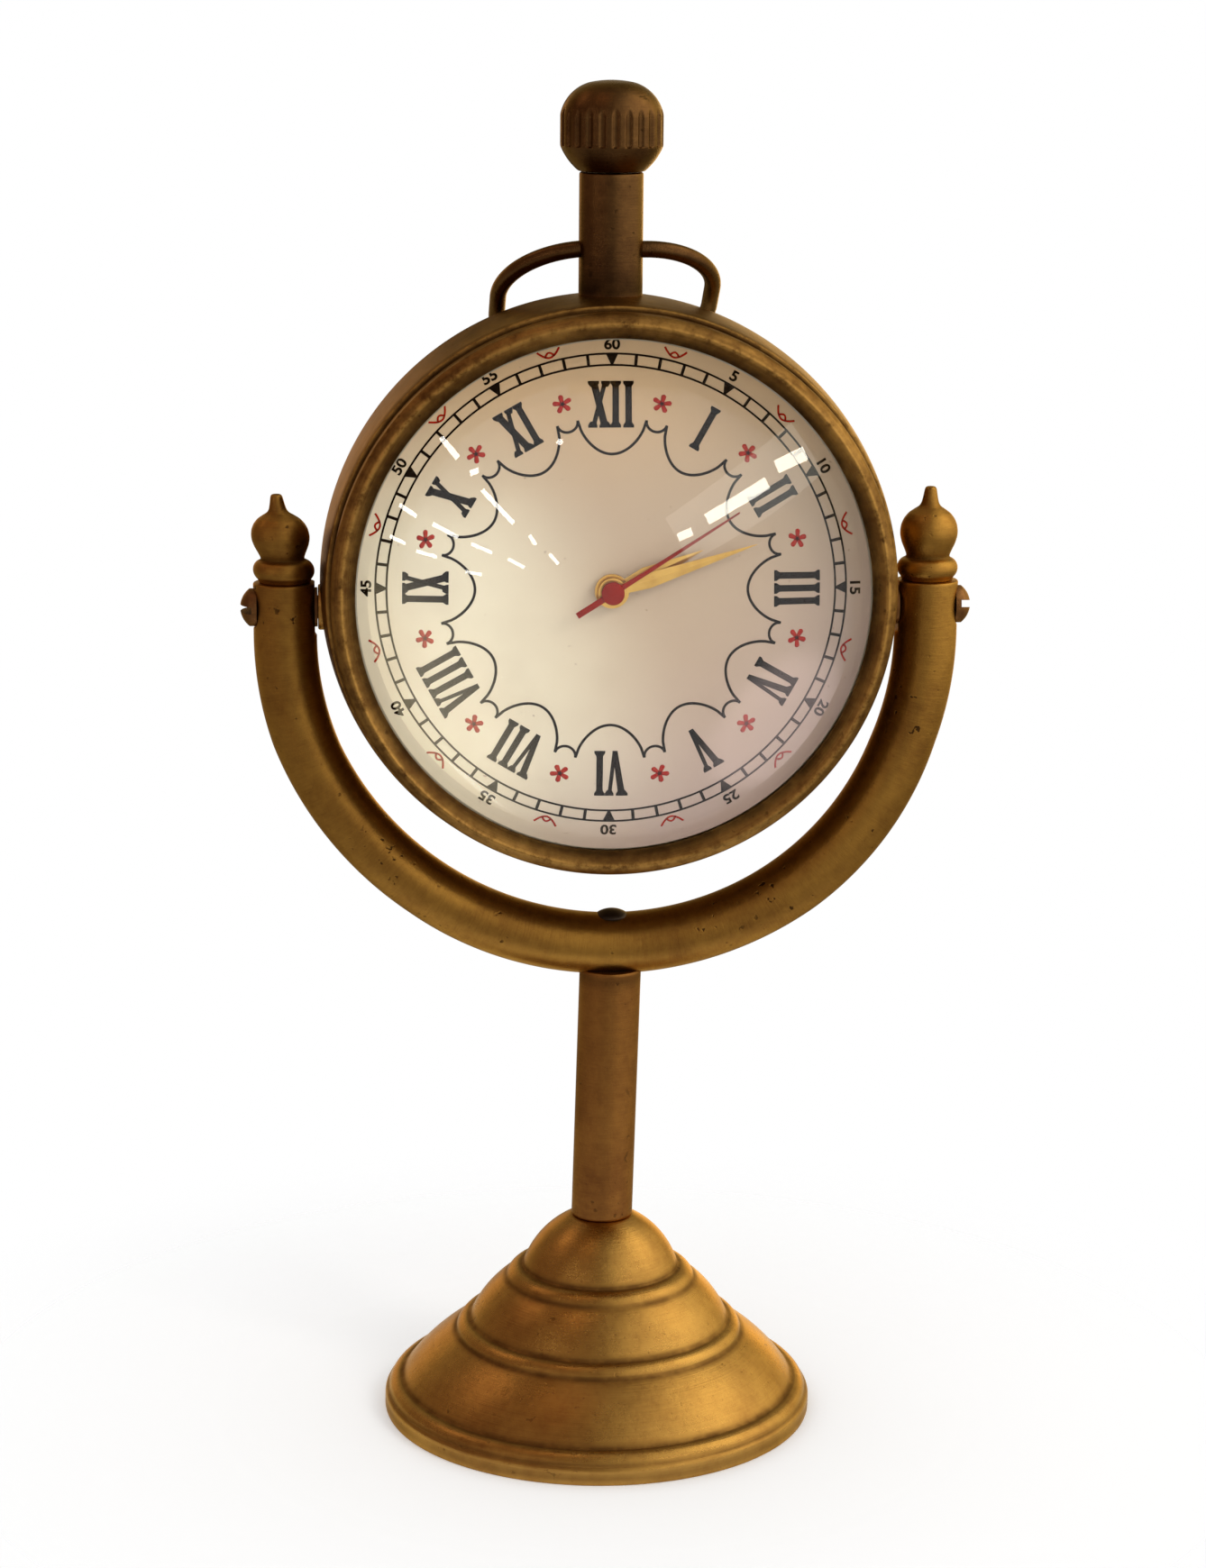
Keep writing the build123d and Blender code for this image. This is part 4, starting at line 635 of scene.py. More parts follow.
def make_pivot_screw(name, side, slope, node):
    """Round-head screw with a slot: across the slot the head is cut into rows s, each with a half chord
    sqrt(R^2 - s^2), and a point's level is that of the dome, or of the slot's floor between its two edges."""
    radius, rim, high, slot, floor = 2.4, 0.9, 2.1, 0.45, 0.65
    slope = math.radians(slope)
    outer = -radius * np.cos(np.linspace(0, math.acos(slot / radius), 16))
    low = np.linspace(-slot, slot, 5)
    s = np.concatenate([outer, low, -outer[::-1]])[:, None]
    row = np.arange(len(s))[:, None] - len(outer)
    t = np.sqrt(np.maximum(radius ** 2 - s ** 2, 0)) * np.linspace(-1, 1, 25)
    ball = (radius ** 2 + (high - rim) ** 2) / (2 * (high - rim))
    level = high - ball + np.sqrt(ball ** 2 - s ** 2 - t ** 2)
    level = np.where((row >= 0) & (row < len(low)), np.minimum(level, floor), level)
    s, level = s + 0 * t, np.pad(level, ((0, 0), (1, 2)))
    t, s = np.pad(t, ((0, 0), (1, 1)), "edge"), np.pad(s, ((0, 0), (1, 2)), "edge")
    t = np.pad(t, ((0, 0), (0, 1)))
    y = t * math.cos(slope) + s * math.sin(slope)
    z = PIVOT_Z - t * math.sin(slope) + s * math.cos(slope)
    head = plain_grid(np.stack([side * (SPOT_X + 0.05 + level), y, z], -1))
    shank = section(straight((0, 33.6), (1.5, 33.6), (1.5, 44.6), (0, 44.6)), soft=0.1, closed=False)
    shank = lathe(shank * np.array([1, side]), "x", (0, 0, PIVOT_Z), closed=False, around=48)
    add_piece(name, [head, shank], "case", "screw_brass", (node,))


# Case: barrel band, bezel, lens, spacer, cover, neck, crown and bow
def make_band():
    """Barrel-shaped band with its ledge and collar inside, and a low boss at each pivot."""
    front, back = (35.8, -9.0), (35.8, 9.0)
    inside = straight(front, (33.95, -9.0), (33.95, -11.65), (BORE_R, -11.65), (BORE_R, -3.0), (30.5, -3.0),
                      (30.5, -1.5), (BORE_R, -1.5), (BORE_R, 9.0), back)
    points = section(inside, bulged(back, front, -0.7), soft=0.22)
    grime_and_shade = np.interp(np.abs(points[:, 1]), (7.6, 8.8), (0.0, GROOVE_FULL))
    band = lathe(points, "y", CASE_CENTRE, grime_and_shade=grime_and_shade, around=240)
    boss = section(straight((0, 35.0), (2.9, 35.0), (2.9, 36.75), (0, 36.75)), soft=0.15, closed=False)
    bosses = [lathe(boss * np.array([1, side]), "x", (0, 0, PIVOT_Z), closed=False, around=64)
              for side in (-1, 1)]
    add_piece("case_barrel", [band, *bosses], "case", "case_brass", ("case_band",))


def make_bezel():
    """Ring with a crisp crest, worn bright and given a painted highlight, and an inner slope down to the
    lens, darkened next to the lens as painted shade and dirty by the band. The wear and painted highlight
    fall off from the crest as exp(-(distance / 0.3)^2)."""
    lip, crest, shoulder = (LIP_R, -12.3), (33.9, -13.65), (35.2, -12.35)
    seat = straight(lip, (LIP_R, LIP_BACK), (33.97, LIP_BACK), (33.97, -9.05), (35.2, -9.05), shoulder)
    points = section(seat, bulged(shoulder, crest, -0.25), bulged(crest, lip, -0.1), soft=0.1, step=0.1)
    # Painted shade on the inner slope next to the lens
    shade_by_glass = np.interp(points[:, 0], (LIP_R, 33.3), (GROOVE_FULL, 0.0)) * (points[:, 1] < LIP_BACK)
    by_band = np.interp(points[:, 1], (-10.6, -9.3), (0.0, GROOVE_FULL)) * (points[:, 0] > 34.5)
    # Painted highlight along the crest, on top of its wear
    rubbed_and_highlit = 0.14 * np.exp(-(np.hypot(*(points - np.array(crest)).T) / 0.3) ** 2)
    grid = lathe(points, "y", CASE_CENTRE, grime_and_shade=shade_by_glass + by_band - rubbed_and_highlit, around=240)
    add_piece("bezel_ring", [grid], "case", "case_brass", ("bezel",))


def make_lens():
    """Flat back, plain rim and a dome that is part of a sphere."""
    tip = CRYSTAL_SHOULDER - (CRYSTAL_CURVE - math.sqrt(CRYSTAL_CURVE ** 2 - DOME_R ** 2))
    radii = np.linspace(0, CRYSTAL_R, 12)
    back = np.stack([radii, CRYSTAL_BACK + 0 * radii], -1)
    rim = np.array([(CRYSTAL_R, -10.0), (CRYSTAL_R, CRYSTAL_SHOULDER), (32.4, CRYSTAL_SHOULDER)])
    points = np.concatenate([back, rim, domed((DOME_R, CRYSTAL_SHOULDER), (0, tip), 90)])
    grid = lathe(points, "y", CASE_CENTRE, closed=False, around=240)
    lens = add_piece("magnifying_lens", [grid], "case", "crystal_glass", ("crystal",), sharp=30)
    lens.visible_shadow = False


def make_spacer():
    """Plain ring between the dial and the lens."""
    points = section(straight((31.6, -8.45), (32.7, -8.45), (32.7, DIAL_FRONT), (31.6, DIAL_FRONT),
                              (31.6, -8.45)), soft=0.1)
    grid = lathe(points, "y", CASE_CENTRE, around=200)
    add_piece("spacer_rim", [grid], "case", "spacer_metal", ("spacer_ring",))


def make_back_cover():
    """Low dome with a rounded edge and a ring that snaps into the band."""
    rim, edge = (COVER_R, 9.4), (34.8, COVER_EDGE)
    inside = straight((0, 9.0), (31.74, 9.0), (31.74, 5.5), (32.94, 5.5), (32.94, 9.0), (COVER_R, 9.0), rim)
    points = section(inside, bulged(rim, edge, 0.23), domed(edge, (0, 11.6)), soft=0.18, closed=False)
    grid = lathe(points, "y", CASE_CENTRE, closed=False, around=220)
    add_piece("back_dome", [grid], "case", "case_brass", ("back_cover",))


def make_neck():
    """Plain tube, darkened at its foot as painted shade."""
    points = section(straight((NECK_R, NECK_LOW), (NECK_R, NECK_TOP), (1.0, NECK_TOP), (1.0, NECK_LOW),
                              (NECK_R, NECK_LOW)), soft=0.2)
    # Painted shade at the foot, where the neck stands on the band
    grime_and_shade = np.interp(points[:, 1], (147.8, 151.0), (GROOVE_FULL, 0.0))
    add_piece("neck_tube", [lathe(points, grime_and_shade=grime_and_shade, around=96)], "case", "neck_brass", ("neck",))


def make_crown():
    """Turned knob cut by upright flutes: the radius is the smaller of the turned one and the distance
    along the ray to the nearest flute circle."""
    flutes, flute_r, flute_x, flute_low, flute_dirt = 24, 0.55, 6.7, 3.15, 0.22
    low, high, cap = (CROWN_R, 3.1), (CROWN_R, 6.9), (2.8, 10.8)
    points = section(straight((0, 0), (4.1, 0)), bulged((4.1, 0), low, 0.25), straight(low, high),
                     bulged(high, cap, 0.75), domed(cap, (0, 11.1)), soft=0.22, closed=False, step=0.16)
    around = flutes * 16
    grid = lathe(points, centre=(0, 0, CROWN_LOW), closed=False, around=around)
    pitch = 2 * math.pi / flutes
    angle = ring(around)
    off = (angle + pitch / 2) % pitch - pitch / 2
    inner = flute_r ** 2 - (flute_x * np.sin(off)) ** 2
    cut = np.where(inner > 0, flute_x * np.cos(off) - np.sqrt(np.maximum(inner, 0)), CROWN_R)
    radius = np.hypot(grid["xyz"][..., 0], grid["xyz"][..., 1])
    share = np.minimum(1, cut[None, :] / np.maximum(radius, 1e-9))
    share = np.where(grid["xyz"][..., 2] > CROWN_LOW + flute_low, share, 1)
    grid["xyz"][..., :2] *= share[..., None]
    grid["depth"] += (1 - share) * radius * flute_dirt
    add_piece("crown_knob", [grid], "crown", "neck_brass", ("crown",))


def make_bow():
    """Wire carried from pin to pin round two corners, two sides and a half circle, leaning on the case.
    Its left side hangs a little lower: outside the neck z moves by the droop times the way out."""
    corner, half, side, gap, droop = 10.3, 13.65, 4.0, 0.3, 0.06
    corner_x, side_top, pin_x = half - corner, corner + side, NECK_R - 1.6
    turn = np.linspace(0, math.pi / 2, 40)
    pin = np.linspace(pin_x, corner_x, 14)
    run = np.linspace(corner, side_top, 14)[1:]
    sine, cosine = np.sin(turn), np.cos(turn)
    right = np.concatenate([
        np.stack([pin, 0 * pin, 1 + 0 * pin, 0 * pin], -1),
        np.stack([corner_x + corner * sine, corner - corner * cosine, cosine, sine], -1)[1:],
        np.stack([half + 0 * run, run, 0 * run, 1 + 0 * run], -1),
        np.stack([half * cosine, side_top + half * sine, -sine, cosine], -1)[1:],
    ])
    left = right[::-1][1:] * np.array([-1, 1, 1, -1])
    plan = np.concatenate([right, left])
    drop = BOW_Z - CASE_Z - math.sqrt(COVER_R ** 2 - half ** 2)
    lean = math.atan2(drop, COVER_EDGE) - math.asin((BOW_R + gap) / math.hypot(COVER_EDGE, drop))
    path = np.stack([plan[:, 0], plan[:, 1] * math.cos(lean), BOW_Z - plan[:, 1] * math.sin(lean)], -1)
    ahead = np.stack([plan[:, 2], plan[:, 3] * math.cos(lean), -plan[:, 3] * math.sin(lean)], -1)
    path[:, 2] += droop * np.sign(path[:, 0]) * np.maximum(np.abs(path[:, 0]) - NECK_R, 0)
    square = np.array([0, math.sin(lean), math.cos(lean)])
    path = np.concatenate([path[:1], path, path[-1:]])
    ahead = np.concatenate([ahead[:1], ahead, ahead[-1:]])
    rings = np.r_[0.0, np.full(len(plan), BOW_R), 0.0]
    add_piece("bow_wire", [tube(path, ahead, square, rings, 40)], "bow", "neck_brass", ("bow",))


# Hands, drawn like the print right (u) and up (v) from the dial's centre
def turned(grid, degrees, out=0.0):
    """Shape drawn upright, moved out from the dial's centre and turned clockwise about it."""
    angle = math.radians(degrees)
    u, v = grid[..., 0], grid[..., 1] + out
    sine, cosine = math.sin(angle), math.cos(angle)
    return np.stack([u * cosine + v * sine, v * cosine - u * sine], -1)


def at_level(flat, level):
    """Points (u, v) of the dial at a level along Y."""
    u, v = flat[..., 0], flat[..., 1]
    return np.stack([u, level + 0 * u, CASE_Z + v], -1)


def plain_grid(xyz):
    """Grid closed round its rows, with no grooves and with its own place as its grain."""
    return {"xyz": xyz, "depth": 0 * xyz[..., 0], "grain": xyz, "loop": (False, True)}


def blade(front, thick, ridge, turn, stations):
    """Closed blade: at each station along it (distance, half width) a six-point section has square sides
    and a front that rises by ridge to the middle line."""
    far, half = (np.array(stations)[:, k][:, None] for k in (0, 1))
    across = np.array([-1, -1, 0, 1, 1, 0])
    level = np.array([thick, ridge, 0, ridge, thick, thick])
    outline = np.stack([half * across, far + 0 * across], -1)
    return plain_grid(at_level(turned(outline, turn), front + level))


def hand_boss(radius, bore, front, thick):
    """Low ring with a rounded edge."""
    points = section(straight((bore, front), (radius, front), (radius, front + thick), (bore, front + thick),
                              (bore, front)), soft=0.08, step=0.06)
    return lathe(points, "y", CASE_CENTRE, around=64)


def hub_cap(radius, front, thick):
    """Low button, a little domed, over the end of the arbor."""
    points = section(straight((0, front + thick), (radius, front + thick), (radius, front)),
                     domed((radius, front), (0, front - 0.12)), soft=0.08, closed=False, step=0.06)
    return lathe(points, "y", CASE_CENTRE, closed=False, around=64)


def make_hands():
    """Two gilt blades and a red needle, outlined by (distance, half width), each on its own boss."""
    hour = [(0.0, 0.02), (0.0, 0.4), (4.0, 0.95), (10.8, 0.02), (10.8, 0.0)]
    minute = [(0.0, 0.02), (0.0, 0.4), (4.0, 0.85), (16.8, 0.02), (16.8, 0.0)]
    second = [(-4.6, 0.0), (-4.6, 0.325), (0.0, 0.325), (2.5, 0.24), (16.6, 0.08), (16.6, 0.0)]
    grids = [blade(-4.2, 0.2, 0.1, HOUR_ANGLE, hour), hand_boss(1.85, 1.2, -4.35, 0.35)]
    add_piece("hour_blade", grids, "hour", "hand_gold", ("hour_hand",), sharp=12)
    grids = [blade(-4.9, 0.2, 0.1, MINUTE_ANGLE, minute), hand_boss(1.55, 0.9, -5.05, 0.35)]
    add_piece("minute_blade", grids, "minute", "hand_gold", ("minute_hand",), sharp=12)
    grids = [blade(-5.6, 0.2, 0.03, SECOND_ANGLE, second), hub_cap(1.25, -5.75, 0.35)]
    add_piece("second_needle", grids, "second", "hand_red", ("second_hand",), sharp=25)


make_base()
make_pillar()
make_yoke()
make_rivet()
make_finial("left_finial_ball", -1, 5.0, 0.96, "left_finial")
make_finial("right_finial_ball", 1, 1.0, 1.05, "right_finial")
make_pivot_screw("left_screw_slotted", -1, -2, "left_pivot_screw")
make_pivot_screw("right_screw_slotted", 1, 10, "right_pivot_screw")
make_band()
make_bezel()
make_lens()
make_spacer()
make_back_cover()
make_neck()
make_crown()
make_bow()
make_hands()


# Dial print: flat strokes a hair in front of the dial
INK_LIFT = 0.03
INK_THICK = 0.02
HOUR_STEP = 30
MINUTE_STEP = 6
NUMERAL_R = 20.5
ASTERISK_R = 21.25
FIGURE_R = 27.78
FIGURE_HIGH = 1.42


def stroke(path, width):
    """Ribbon along a path of (u, v) points: the path moved half the width to each side along its normal."""
    ahead = np.gradient(path, axis=0)
    ahead /= np.maximum(np.hypot(*ahead.T), 1e-9)[:, None]
    normal = np.stack([-ahead[:, 1], ahead[:, 0]], -1)
    offset = width * np.array([-0.5, 0.5])[None, :, None]
    return path[:, None, :] + normal[:, None, :] * offset


def polar(radius, degrees):
    """Points at a radius and a clockwise angle from the top."""
    angle = np.radians(degrees)
    return np.stack([radius * np.sin(angle), radius * np.cos(angle)], -1)


def ink_film(name, mesh, finish):
    """Thin piece of ink from a flat mesh, every face turned to look out of the dial, along -Y."""
    work = bmesh.new()
    work.from_mesh(mesh)
    bmesh.ops.reverse_faces(work, faces=[face for face in work.faces if face.normal.y > 0])
    work.to_mesh(mesh)
    work.free()
    film = place(name, mesh, "case", finish).modifiers.new("ink film", "SOLIDIFY")
    film.thickness = INK_THICK * MM
    film.offset = -1.0


def print_piece(name, shapes, finish):
    """Flat (u, v) grids printed on the dial as one piece."""
    flat, faces = joined(shapes, [(False, False)] * len(shapes))
    mesh = mesh_of(name, at_level(flat, DIAL_FRONT - INK_LIFT), faces)
    close_up(mesh, 30)
    ink_film(name, mesh, finish)


def bar(left, right, low, high):
    """Upright rectangle."""
    return np.array([[(left, low), (left, high)], [(right, low), (right, high)]], float)


def slant(top, bottom, top_w, bottom_w, high):
    """Slanting stroke from a place at the top to a place at the bottom, with its own widths."""
    return np.array([[(top - top_w / 2, high), (bottom - bottom_w / 2, -high)],
                     [(top + top_w / 2, high), (bottom + bottom_w / 2, -high)]], float)


NUMERAL_HALF = 2.72
SERIF_T = 0.28
BRACKET = 0.42


def letter(kind, u):
    """Strokes of one numeral letter about its middle u: thick and thin strokes with slab ends."""
    high = NUMERAL_HALF

    def slab(middle, width, top):
        """Slab end whose inner side slopes in to the stroke."""
        way = 1 if top else -1
        left, right, stem = u + middle - width / 2, u + middle + width / 2, 0.27 * width
        levels = way * np.array([high, high - SERIF_T, high - SERIF_T - BRACKET])
        ends = np.array([(left, right), (left, right), (u + middle - stem, u + middle + stem)])
        return np.stack([ends, levels[:, None] + 0 * ends], -1)

    if kind == "I":
        return [bar(u - 0.36, u + 0.36, -high, high), slab(0, 1.18, True), slab(0, 1.18, False)]
    if kind == "V":
        return [slant(u - 0.68, u + 0.16, 0.78, 0.56, high), slant(u + 0.72, u + 0.2, 0.42, 0.42, high),
                slab(-0.68, 1.3, True), slab(0.72, 0.95, True)]
    return [slant(u - 0.66, u + 0.66, 0.8, 0.8, high), slant(u + 0.66, u - 0.66, 0.5, 0.5, high),
            slab(-0.66, 1.25, True), slab(0.7, 1.0, True), slab(-0.7, 1.0, False), slab(0.66, 1.25, False)]


ADVANCE = {"I": 1.42, "V": 2.2, "X": 2.2}
NUMERALS = ("XII", "I", "II", "III", "IV", "V", "VI", "VII", "VIII", "IX", "X", "XI")


def make_numerals():
    """Hour numerals, tops outward, each letter set after the last by its own advance."""
    shapes = []
    for hour, text in enumerate(NUMERALS):
        u = -sum(ADVANCE[kind] for kind in text) / 2
        for kind in text:
            u += ADVANCE[kind] / 2
            shapes.extend(turned(shape, HOUR_STEP * hour, NUMERAL_R) for shape in letter(kind, u))
            u += ADVANCE[kind] / 2
    print_piece("hour_numerals", shapes, "black_ink")


def make_track():
    """Two fine circles, a bar at each minute and a wedge at each fifth minute."""
    inner, outer = 25.15, 26.56
    circle = np.linspace(0, 360, 361)
    shapes = [np.stack([polar(r - 0.12, circle), polar(r + 0.12, circle)], 1) for r in (inner, outer)]
    wedge = np.array([[(-0.1, inner), (-0.7, outer)], [(0.1, inner), (0.7, outer)]])
    for minute in range(60):
        mark = bar(-0.17, 0.17, inner, outer) if minute % 5 else wedge
        shapes.append(turned(mark, MINUTE_STEP * minute))
    print_piece("minute_track", shapes, "black_ink")


def make_scallops():
    """Line of big half-round lobes toward the centre at the hours, with a small lobe under each asterisk:
    at a share s across a lobe the radius is cusp (1 - depth sqrt(1 - s^2))."""
    cusp, width = 18.98, 0.29
    across = np.linspace(-1, 1, 49)
    shapes = []
    for hour in range(12):
        for middle, half, depth in ((0, 11.5, 43 / 195), (HOUR_STEP / 2, 3.5, 11 / 195)):
            radius = cusp * (1 - depth * np.sqrt(1 - across ** 2))
            shapes.append(stroke(polar(radius, HOUR_STEP * hour + middle + half * across), width))
    print_piece("scallop_line", shapes, "black_ink")


def make_asterisks():
    """Five petals, thin at the middle and broad and round at the end."""
    far = np.linspace(0, 1, 12)
    half = (0.17 + 0.16 * far) * np.sqrt(np.maximum(1 - far ** 8, 0))
    half[-1] = 0.05
    petal = np.stack([np.stack([-half, 1.1 * far], -1), np.stack([half, 1.1 * far], -1)], 1)
    shapes = [turned(turned(petal, 72 * k), HOUR_STEP * (hour + 0.5), ASTERISK_R)
              for hour in range(12) for k in range(5)]
    print_piece("red_asterisks", shapes, "red_ink")


def make_flourishes():
    """A low arc with its tails turned outward, and a small cap that closes a little eye at its middle."""
    across = np.linspace(-1, 1, 33)
    low = np.stack([1.3 * across, 27.05 + 1.05 * np.abs(across) ** 1.8], -1)
    cap = np.stack([0.55 * across, 27.15 + 0.55 * (1 - across ** 2)], -1)
    shapes = [turned(stroke(path, 0.24), HOUR_STEP * (hour + 0.5))
              for hour in range(12) for path in (low, cap)]
    print_piece("red_flourishes", shapes, "red_ink")


def make_figures():
    """Minute figures 5 to 60 outside the track, set from the built-in plain type, tops outward."""
    xyz, faces, start = [], [], 0
    for k in range(12):
        curve = bpy.data.curves.new("figure", "FONT")
        curve.body = str(5 * (k or 12))
        curve.align_x, curve.align_y = "CENTER", "CENTER"
        curve.size = 1.0
        curve.resolution_u = 6
        curve.offset = 0.03
        holder = new_object("figure", curve)
        drawn = holder.evaluated_get(bpy.context.evaluated_depsgraph_get())
        mesh = bpy.data.meshes.new_from_object(drawn)
        flat = np.zeros(len(mesh.vertices) * 3)
        mesh.vertices.foreach_get("co", flat)
        flat = flat.reshape(-1, 3)[:, :2]
        low, high = flat[:, 1].min(), flat[:, 1].max()
        flat[:, 1] -= (low + high) / 2
        figure = turned(flat * FIGURE_HIGH / (high - low), HOUR_STEP * k, FIGURE_R)
        xyz.append(at_level(figure, DIAL_FRONT - INK_LIFT))
        faces.extend([tuple(start + v for v in face.vertices) for face in mesh.polygons])
        start += len(flat)
        bpy.data.objects.remove(holder)
        bpy.data.curves.remove(curve)
        bpy.data.meshes.remove(mesh)
    mesh = bpy.data.meshes.new("minute_figures")
    mesh.from_pydata((np.concatenate(xyz) * MM).tolist(), [], faces)
    ink_film("minute_figures", mesh, "black_ink")


make_numerals()
make_track()
make_scallops()
make_asterisks()
make_flourishes()
make_figures()


# Floor, light and camera, in metres
def stage_piece(name, xyz, faces, finish):
    """Piece of the studio that isn't part of the clock."""
    mesh = mesh_of(name, xyz.reshape(-1, 3) / MM, faces)
    mesh.materials.append(finish)
    piece = new_object(name, mesh)
    return piece


def only_in_reflections(piece):
    """Shows a piece of the studio in gloss alone."""
    piece.visible_camera = piece.visible_diffuse = piece.visible_transmission = False
    piece.visible_volume_scatter = piece.visible_shadow = False


def after_matt(nodes):
    """One for light on its way to a matt surface, even through the lens, and zero for what gloss shows."""
    return nodes.math("MINIMUM", nodes.add("LightPath").outputs["Diffuse Depth"], 1.0)


def in_glass(nodes):
    """One for what the smooth lens mirrors, zero for what the duller metal does."""
    return nodes.add("LightPath").outputs["Is Singular Ray"]


def make_floor():
    """White round floor that fades out toward its rim and isn't mirrored in the lens.
    A point is radius (cos a, sin a)."""
    made, nodes, skin = new_material("pale floor")
    reach = nodes.vector("LENGTH", nodes.spot(), out="Value")
    fade = nodes.minus(1.0, nodes.step(reach, 0.035, 0.11))
    nodes.link(nodes.times(fade, nodes.minus(1.0, in_glass(nodes))), skin["Alpha"])
    set_values(skin, {"Base Color": (0.97, 0.97, 0.97, 1), "Roughness": 0.8, "Specular IOR Level": 0.1,
                      "Emission Color": WHITE, "Emission Strength": 0.11})
    radius = np.linspace(0.001, 0.2, 24)[:, None]
    angle = ring(96)
    xyz = np.stack([radius * np.cos(angle), radius * np.sin(angle), 0 * radius * angle], -1)
    stage_piece("floor", xyz, quads(24, 96, (False, True))[:, ::-1], made)


def glow(name):
    """Material that only shines, its nodes helper and its shader's sockets."""
    made, nodes, _ = new_material(name)
    tree = made.node_tree
    tree.nodes.remove(tree.nodes["Principled BSDF"])
    shine = nodes.add("Emission")
    nodes.link(shine.outputs[0], tree.nodes["Material Output"].inputs["Surface"])
    return made, nodes, shine.inputs


# Patches of light in the round room, in the order they are laid on: the way to the middle of each, the
# cosines of the angle from it where the patch begins and where it is full, and its colour
METAL_PATCHES = (
    ((0, 0, 1), 0.2, 0.9, (0.3, 0.28, 0.25, 1)),  # dimmer above
    ((-0.9, -0.2, 0.36), 0.1, 0.8, (0.3, 0.2, 0.155, 1)),  # dim and warm on the left
    ((0.93, -0.25, 0.26), 0.34, 0.74, (1.2, 1.14, 1.0, 1)),  # bright on the right
    ((0, 0, -1), 0.0, 0.4, (0.36, 0.33, 0.29, 1)),  # dim below
    ((0.8, 0.51, 0.31), 0.92, 0.98, (1.3, 1.2, 1.0, 1)),  # rim light behind on the right
    ((-0.6, 0.29, 0.745), 0.98, 0.994, (1.35, 0.9, 0.68, 1)),  # small copper lamp high on the left
    ((-0.24, -0.16, 0.957), 0.984, 0.995, (1.3, 0.8, 0.52, 1)),  # small copper lamp overhead
    ((0.83, -0.08, 0.53), 0.86, 0.96, (1.9, 1.78, 1.5, 1)),  # broad lamp on the right
    ((0.36, 0.93, -0.03), 0.945, 0.985, (2.1, 1.6, 0.85, 1)),  # gold light behind on the right
    ((-0.34, 0.93, 0.1), 0.95, 0.985, (1.0, 0.74, 0.6, 1)),  # warm light behind on the left
    ((0.67, 0.1, 0.735), 0.955, 0.985, (2.3, 2.15, 1.75, 1)),  # pale lamp high on the right
)
LENS_PATCHES = (
    ((-0.8, -0.2, -0.57), 0.7, 1.0, (3.6, 3.1, 2.0, 1)),  # bright at the lower left
    ((0.72, -0.3, -0.62), 0.92, 0.97, (2.2, 1.7, 1.6, 1)),  # pinkish at the lower right
)


def make_studio_walls():
    """Round room that only gloss shows: the metal sees its patches over a dim grey, the lens sees others
    over a dark brown, and light on its way to a matt surface is plain white.
    A point is 3 m (sin t cos a, sin t sin a, cos t)."""
    made, nodes, shine = glow("studio wall")
    way = nodes.vector("NORMALIZE", nodes.spot())

    def patched(colour, patches):
        """Colour with soft-edged patches laid on it in turn."""
        for aim, low, high, tone in patches:
            colour = nodes.mix(nodes.toward(way, aim, low, high), colour, tone)
        return colour

    metal = patched((0.44, 0.42, 0.38, 1), METAL_PATCHES)
    lens = patched((0.12, 0.07, 0.04, 1), LENS_PATCHES)
    colour = nodes.mix(in_glass(nodes), metal, lens)
    nodes.link(nodes.mix(after_matt(nodes), colour, WHITE), shine["Color"])
    tilt = np.linspace(0.002, math.pi - 0.002, 33)[:, None]
    angle = ring(64)
    beside, across = np.sin(tilt) * np.cos(angle), np.sin(tilt) * np.sin(angle)
    xyz = 3.0 * np.stack([beside, across, np.cos(tilt) + 0 * angle], -1)
    only_in_reflections(stage_piece("studio_wall", xyz, quads(33, 64, (False, True)), made))


def make_dark_card():
    """Upright dim card behind the top of the clock, for the dark crest of the case."""
    made, nodes, shine = glow("dark card")
    nodes.link(nodes.mix(after_matt(nodes), (0.09, 0.068, 0.052, 1), WHITE), shine["Color"])
    xyz = np.array([(-0.05, 0.15, 0.09), (0.0, 0.15, 0.09), (0.0, 0.15, 0.2), (-0.05, 0.15, 0.2)])
    only_in_reflections(stage_piece("dark_card", xyz, np.array([[0, 1, 2, 3]]), made))


# Light tubes and the broad panel behind them: both ends and the width
TUBES = (
    ((1.25, -0.76, 0.82), (1.39, -0.46, 0.83), 0.0975), ((0.8, -1.34, 0.56), (1.21, -0.89, 0.74), 0.091),
    ((0.58, -1.48, 0.44), (0.69, -1.42, 0.48), 0.065), ((-1.17, -0.66, 1.05), (-1.09, -0.87, 0.95), 0.0429),
    ((-0.96, -1.14, 0.77), (-0.75, -1.38, 0.55), 0.0351), ((-1.03, -1.01, 0.87), (-0.97, -1.04, 0.9), 0.0481),
    ((-0.38, -1.18, 1.17), (-0.34, -1.2, 1.16), 0.0468), ((-1.44, -0.63, 0.54), (-1.37, -0.8, 0.49), 0.0325),
    ((-1.29, -0.94, 0.46), (-1.14, -1.13, 0.39), 0.0312), ((-1.05, -1.22, 0.35), (-0.91, -1.34, 0.3), 0.026),
    ((-0.79, -1.41, 0.26), (-0.67, -1.48, 0.2), 0.026), ((-1.5, -0.62, 0.31), (-1.43, -0.76, 0.28), 0.0273),
    ((-1.38, -0.86, 0.24), (-1.27, -1.02, 0.22), 0.026), ((-1.09, -1.21, 0.13), (-0.98, -1.3, 0.12), 0.0247),
    ((-0.63, -1.46, 0.46), (-0.58, -1.49, 0.39), 0.0286), ((-0.47, -1.54, 0.32), (-0.4, -1.57, 0.24), 0.0286),
)
PANELS = (((0.73, -1.88, 0.5), (1.8, -0.53, 1.07), 0.52),)


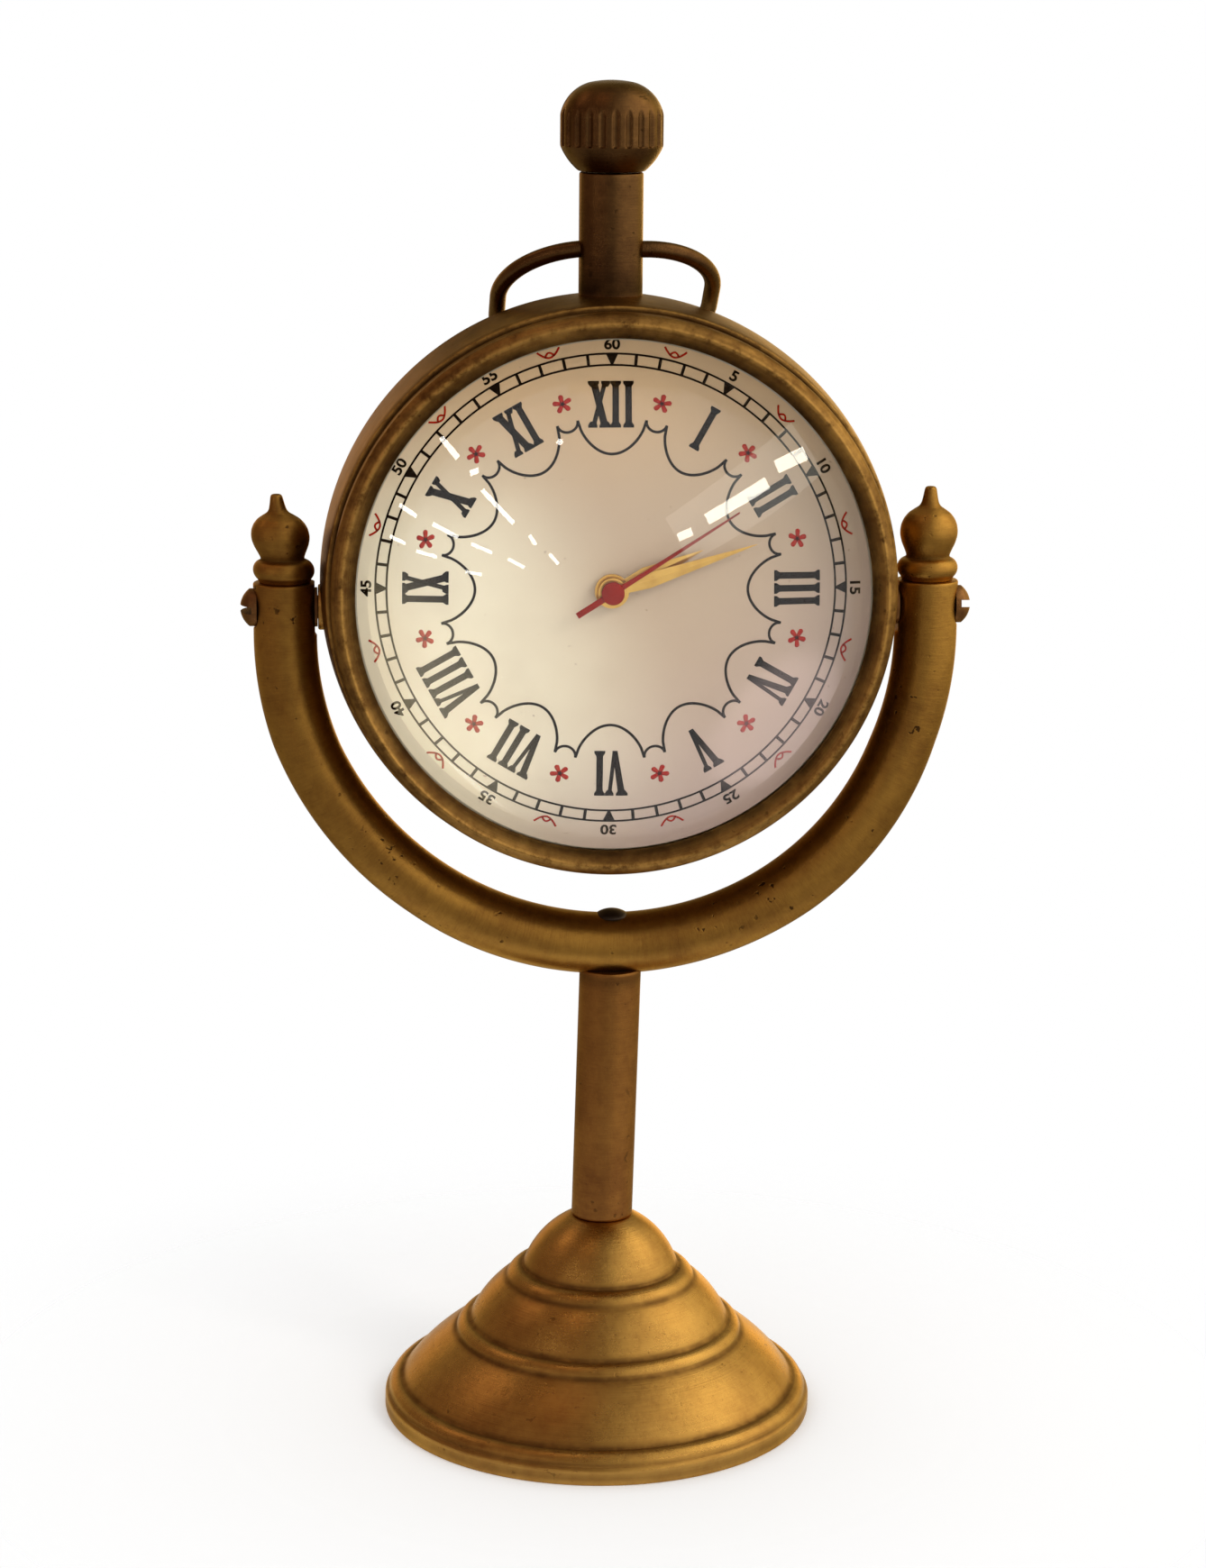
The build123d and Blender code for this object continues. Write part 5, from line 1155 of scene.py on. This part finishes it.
def make_tubes(name, tubes, strength):
    """Rows of light tubes as flat strips that face the lens: each end moved half the width to both sides,
    square to the strip and to the way to the lens."""
    made, nodes, shine = glow(name)
    right = nodes.step(nodes.add("SeparateXYZ", {0: nodes.spot()}).outputs[0], -0.2, 0.2)
    colour = nodes.mix(right, (1.0, 0.97, 0.92, 1), (1.0, 0.96, 0.84, 1))
    colour = nodes.mix(in_glass(nodes), (0.3, 0.28, 0.25, 1), colour)
    nodes.link(nodes.mix(after_matt(nodes), colour, (0, 0, 0, 1)), shine["Color"])
    shine["Strength"].default_value = strength
    ends = np.array([tube[:2] for tube in tubes])
    half = np.array([tube[2] for tube in tubes])[:, None, None] / 2
    across = np.cross(ends[:, 1] - ends[:, 0], np.array(CASE_CENTRE) * MM - ends.mean(1))
    across = (across / np.linalg.norm(across, axis=1, keepdims=True))[:, None]
    corners = np.stack([ends - across * half, ends + across * half], 2)
    first = np.arange(len(tubes))[:, None] * 4
    only_in_reflections(stage_piece(name, corners, first + np.array([0, 1, 3, 2]), made))


def make_world():
    """White to the camera, in reflections and through glass, and a softer white on matt surfaces."""
    world = bpy.data.worlds.new("studio")
    bpy.context.scene.world = world
    world.use_nodes = True
    nodes = Nodes(world.node_tree)
    ray = nodes.add("LightPath").outputs
    seen = nodes.plus(ray["Is Camera Ray"], ray["Is Glossy Ray"])
    seen = nodes.plus(seen, ray["Is Transmission Ray"], clamp=True)
    strength = nodes.add("MapRange", {"Value": seen, "To Min": 0.84, "To Max": 1.0}).outputs["Result"]
    back = world.node_tree.nodes["Background"].inputs
    back["Color"].default_value = WHITE
    nodes.link(strength, back["Strength"])


def make_camera():
    """Camera a little to the left of the dial, looking down on the clock, rolled by half a degree.
    The focal length and the shift are in pixels of a frame 1740 high."""
    frame_high, focal, shift = 1740, 4013.7, -3.5
    away, height = 0.4537, 0.1889
    side, dip, roll = (math.radians(turn) for turn in (-4.5, 12.95, 0.5))
    data = bpy.data.cameras.new("camera")
    data.sensor_fit = "VERTICAL"
    data.sensor_height = 36.0
    data.lens = focal / frame_high * data.sensor_height
    data.shift_x = shift / frame_high
    camera = new_object("camera", data)
    camera.location = (away * math.sin(side), -away * math.cos(side), height)
    whole = Matrix.Identity(4)
    for angle, axis in ((side, "Z"), (math.pi / 2 - dip, "X"), (roll, "Z")):
        whole = whole @ Matrix.Rotation(angle, 4, axis)
    camera.rotation_euler = whole.to_euler()
    bpy.context.scene.camera = camera


def make_key_lamp():
    """Soft square lamp high in front on the right, turned to face the clock, that gloss doesn't show."""
    stand, aim = np.array((0.55, -0.55, 0.62)), np.array((0, 0, 0.1))
    data = bpy.data.lights.new("key softbox", "AREA")
    data.shape = "RECTANGLE"
    data.size = data.size_y = 0.3
    data.energy = 1.7
    data.color = (1, 0.96, 0.9)
    lamp = new_object("key softbox", data)
    lamp.location = stand
    x, y, z = aim - stand
    lamp.rotation_euler = (math.atan2(math.hypot(x, y), -z), 0, math.atan2(-x, y))
    lamp.visible_glossy = False


make_floor()
make_studio_walls()
make_dark_card()
make_tubes("light_tubes", TUBES, 18.0)
make_tubes("light_panel", PANELS, 1.7)
make_world()
make_camera()
make_key_lamp()
bpy.context.scene.view_settings.view_transform = "Standard"
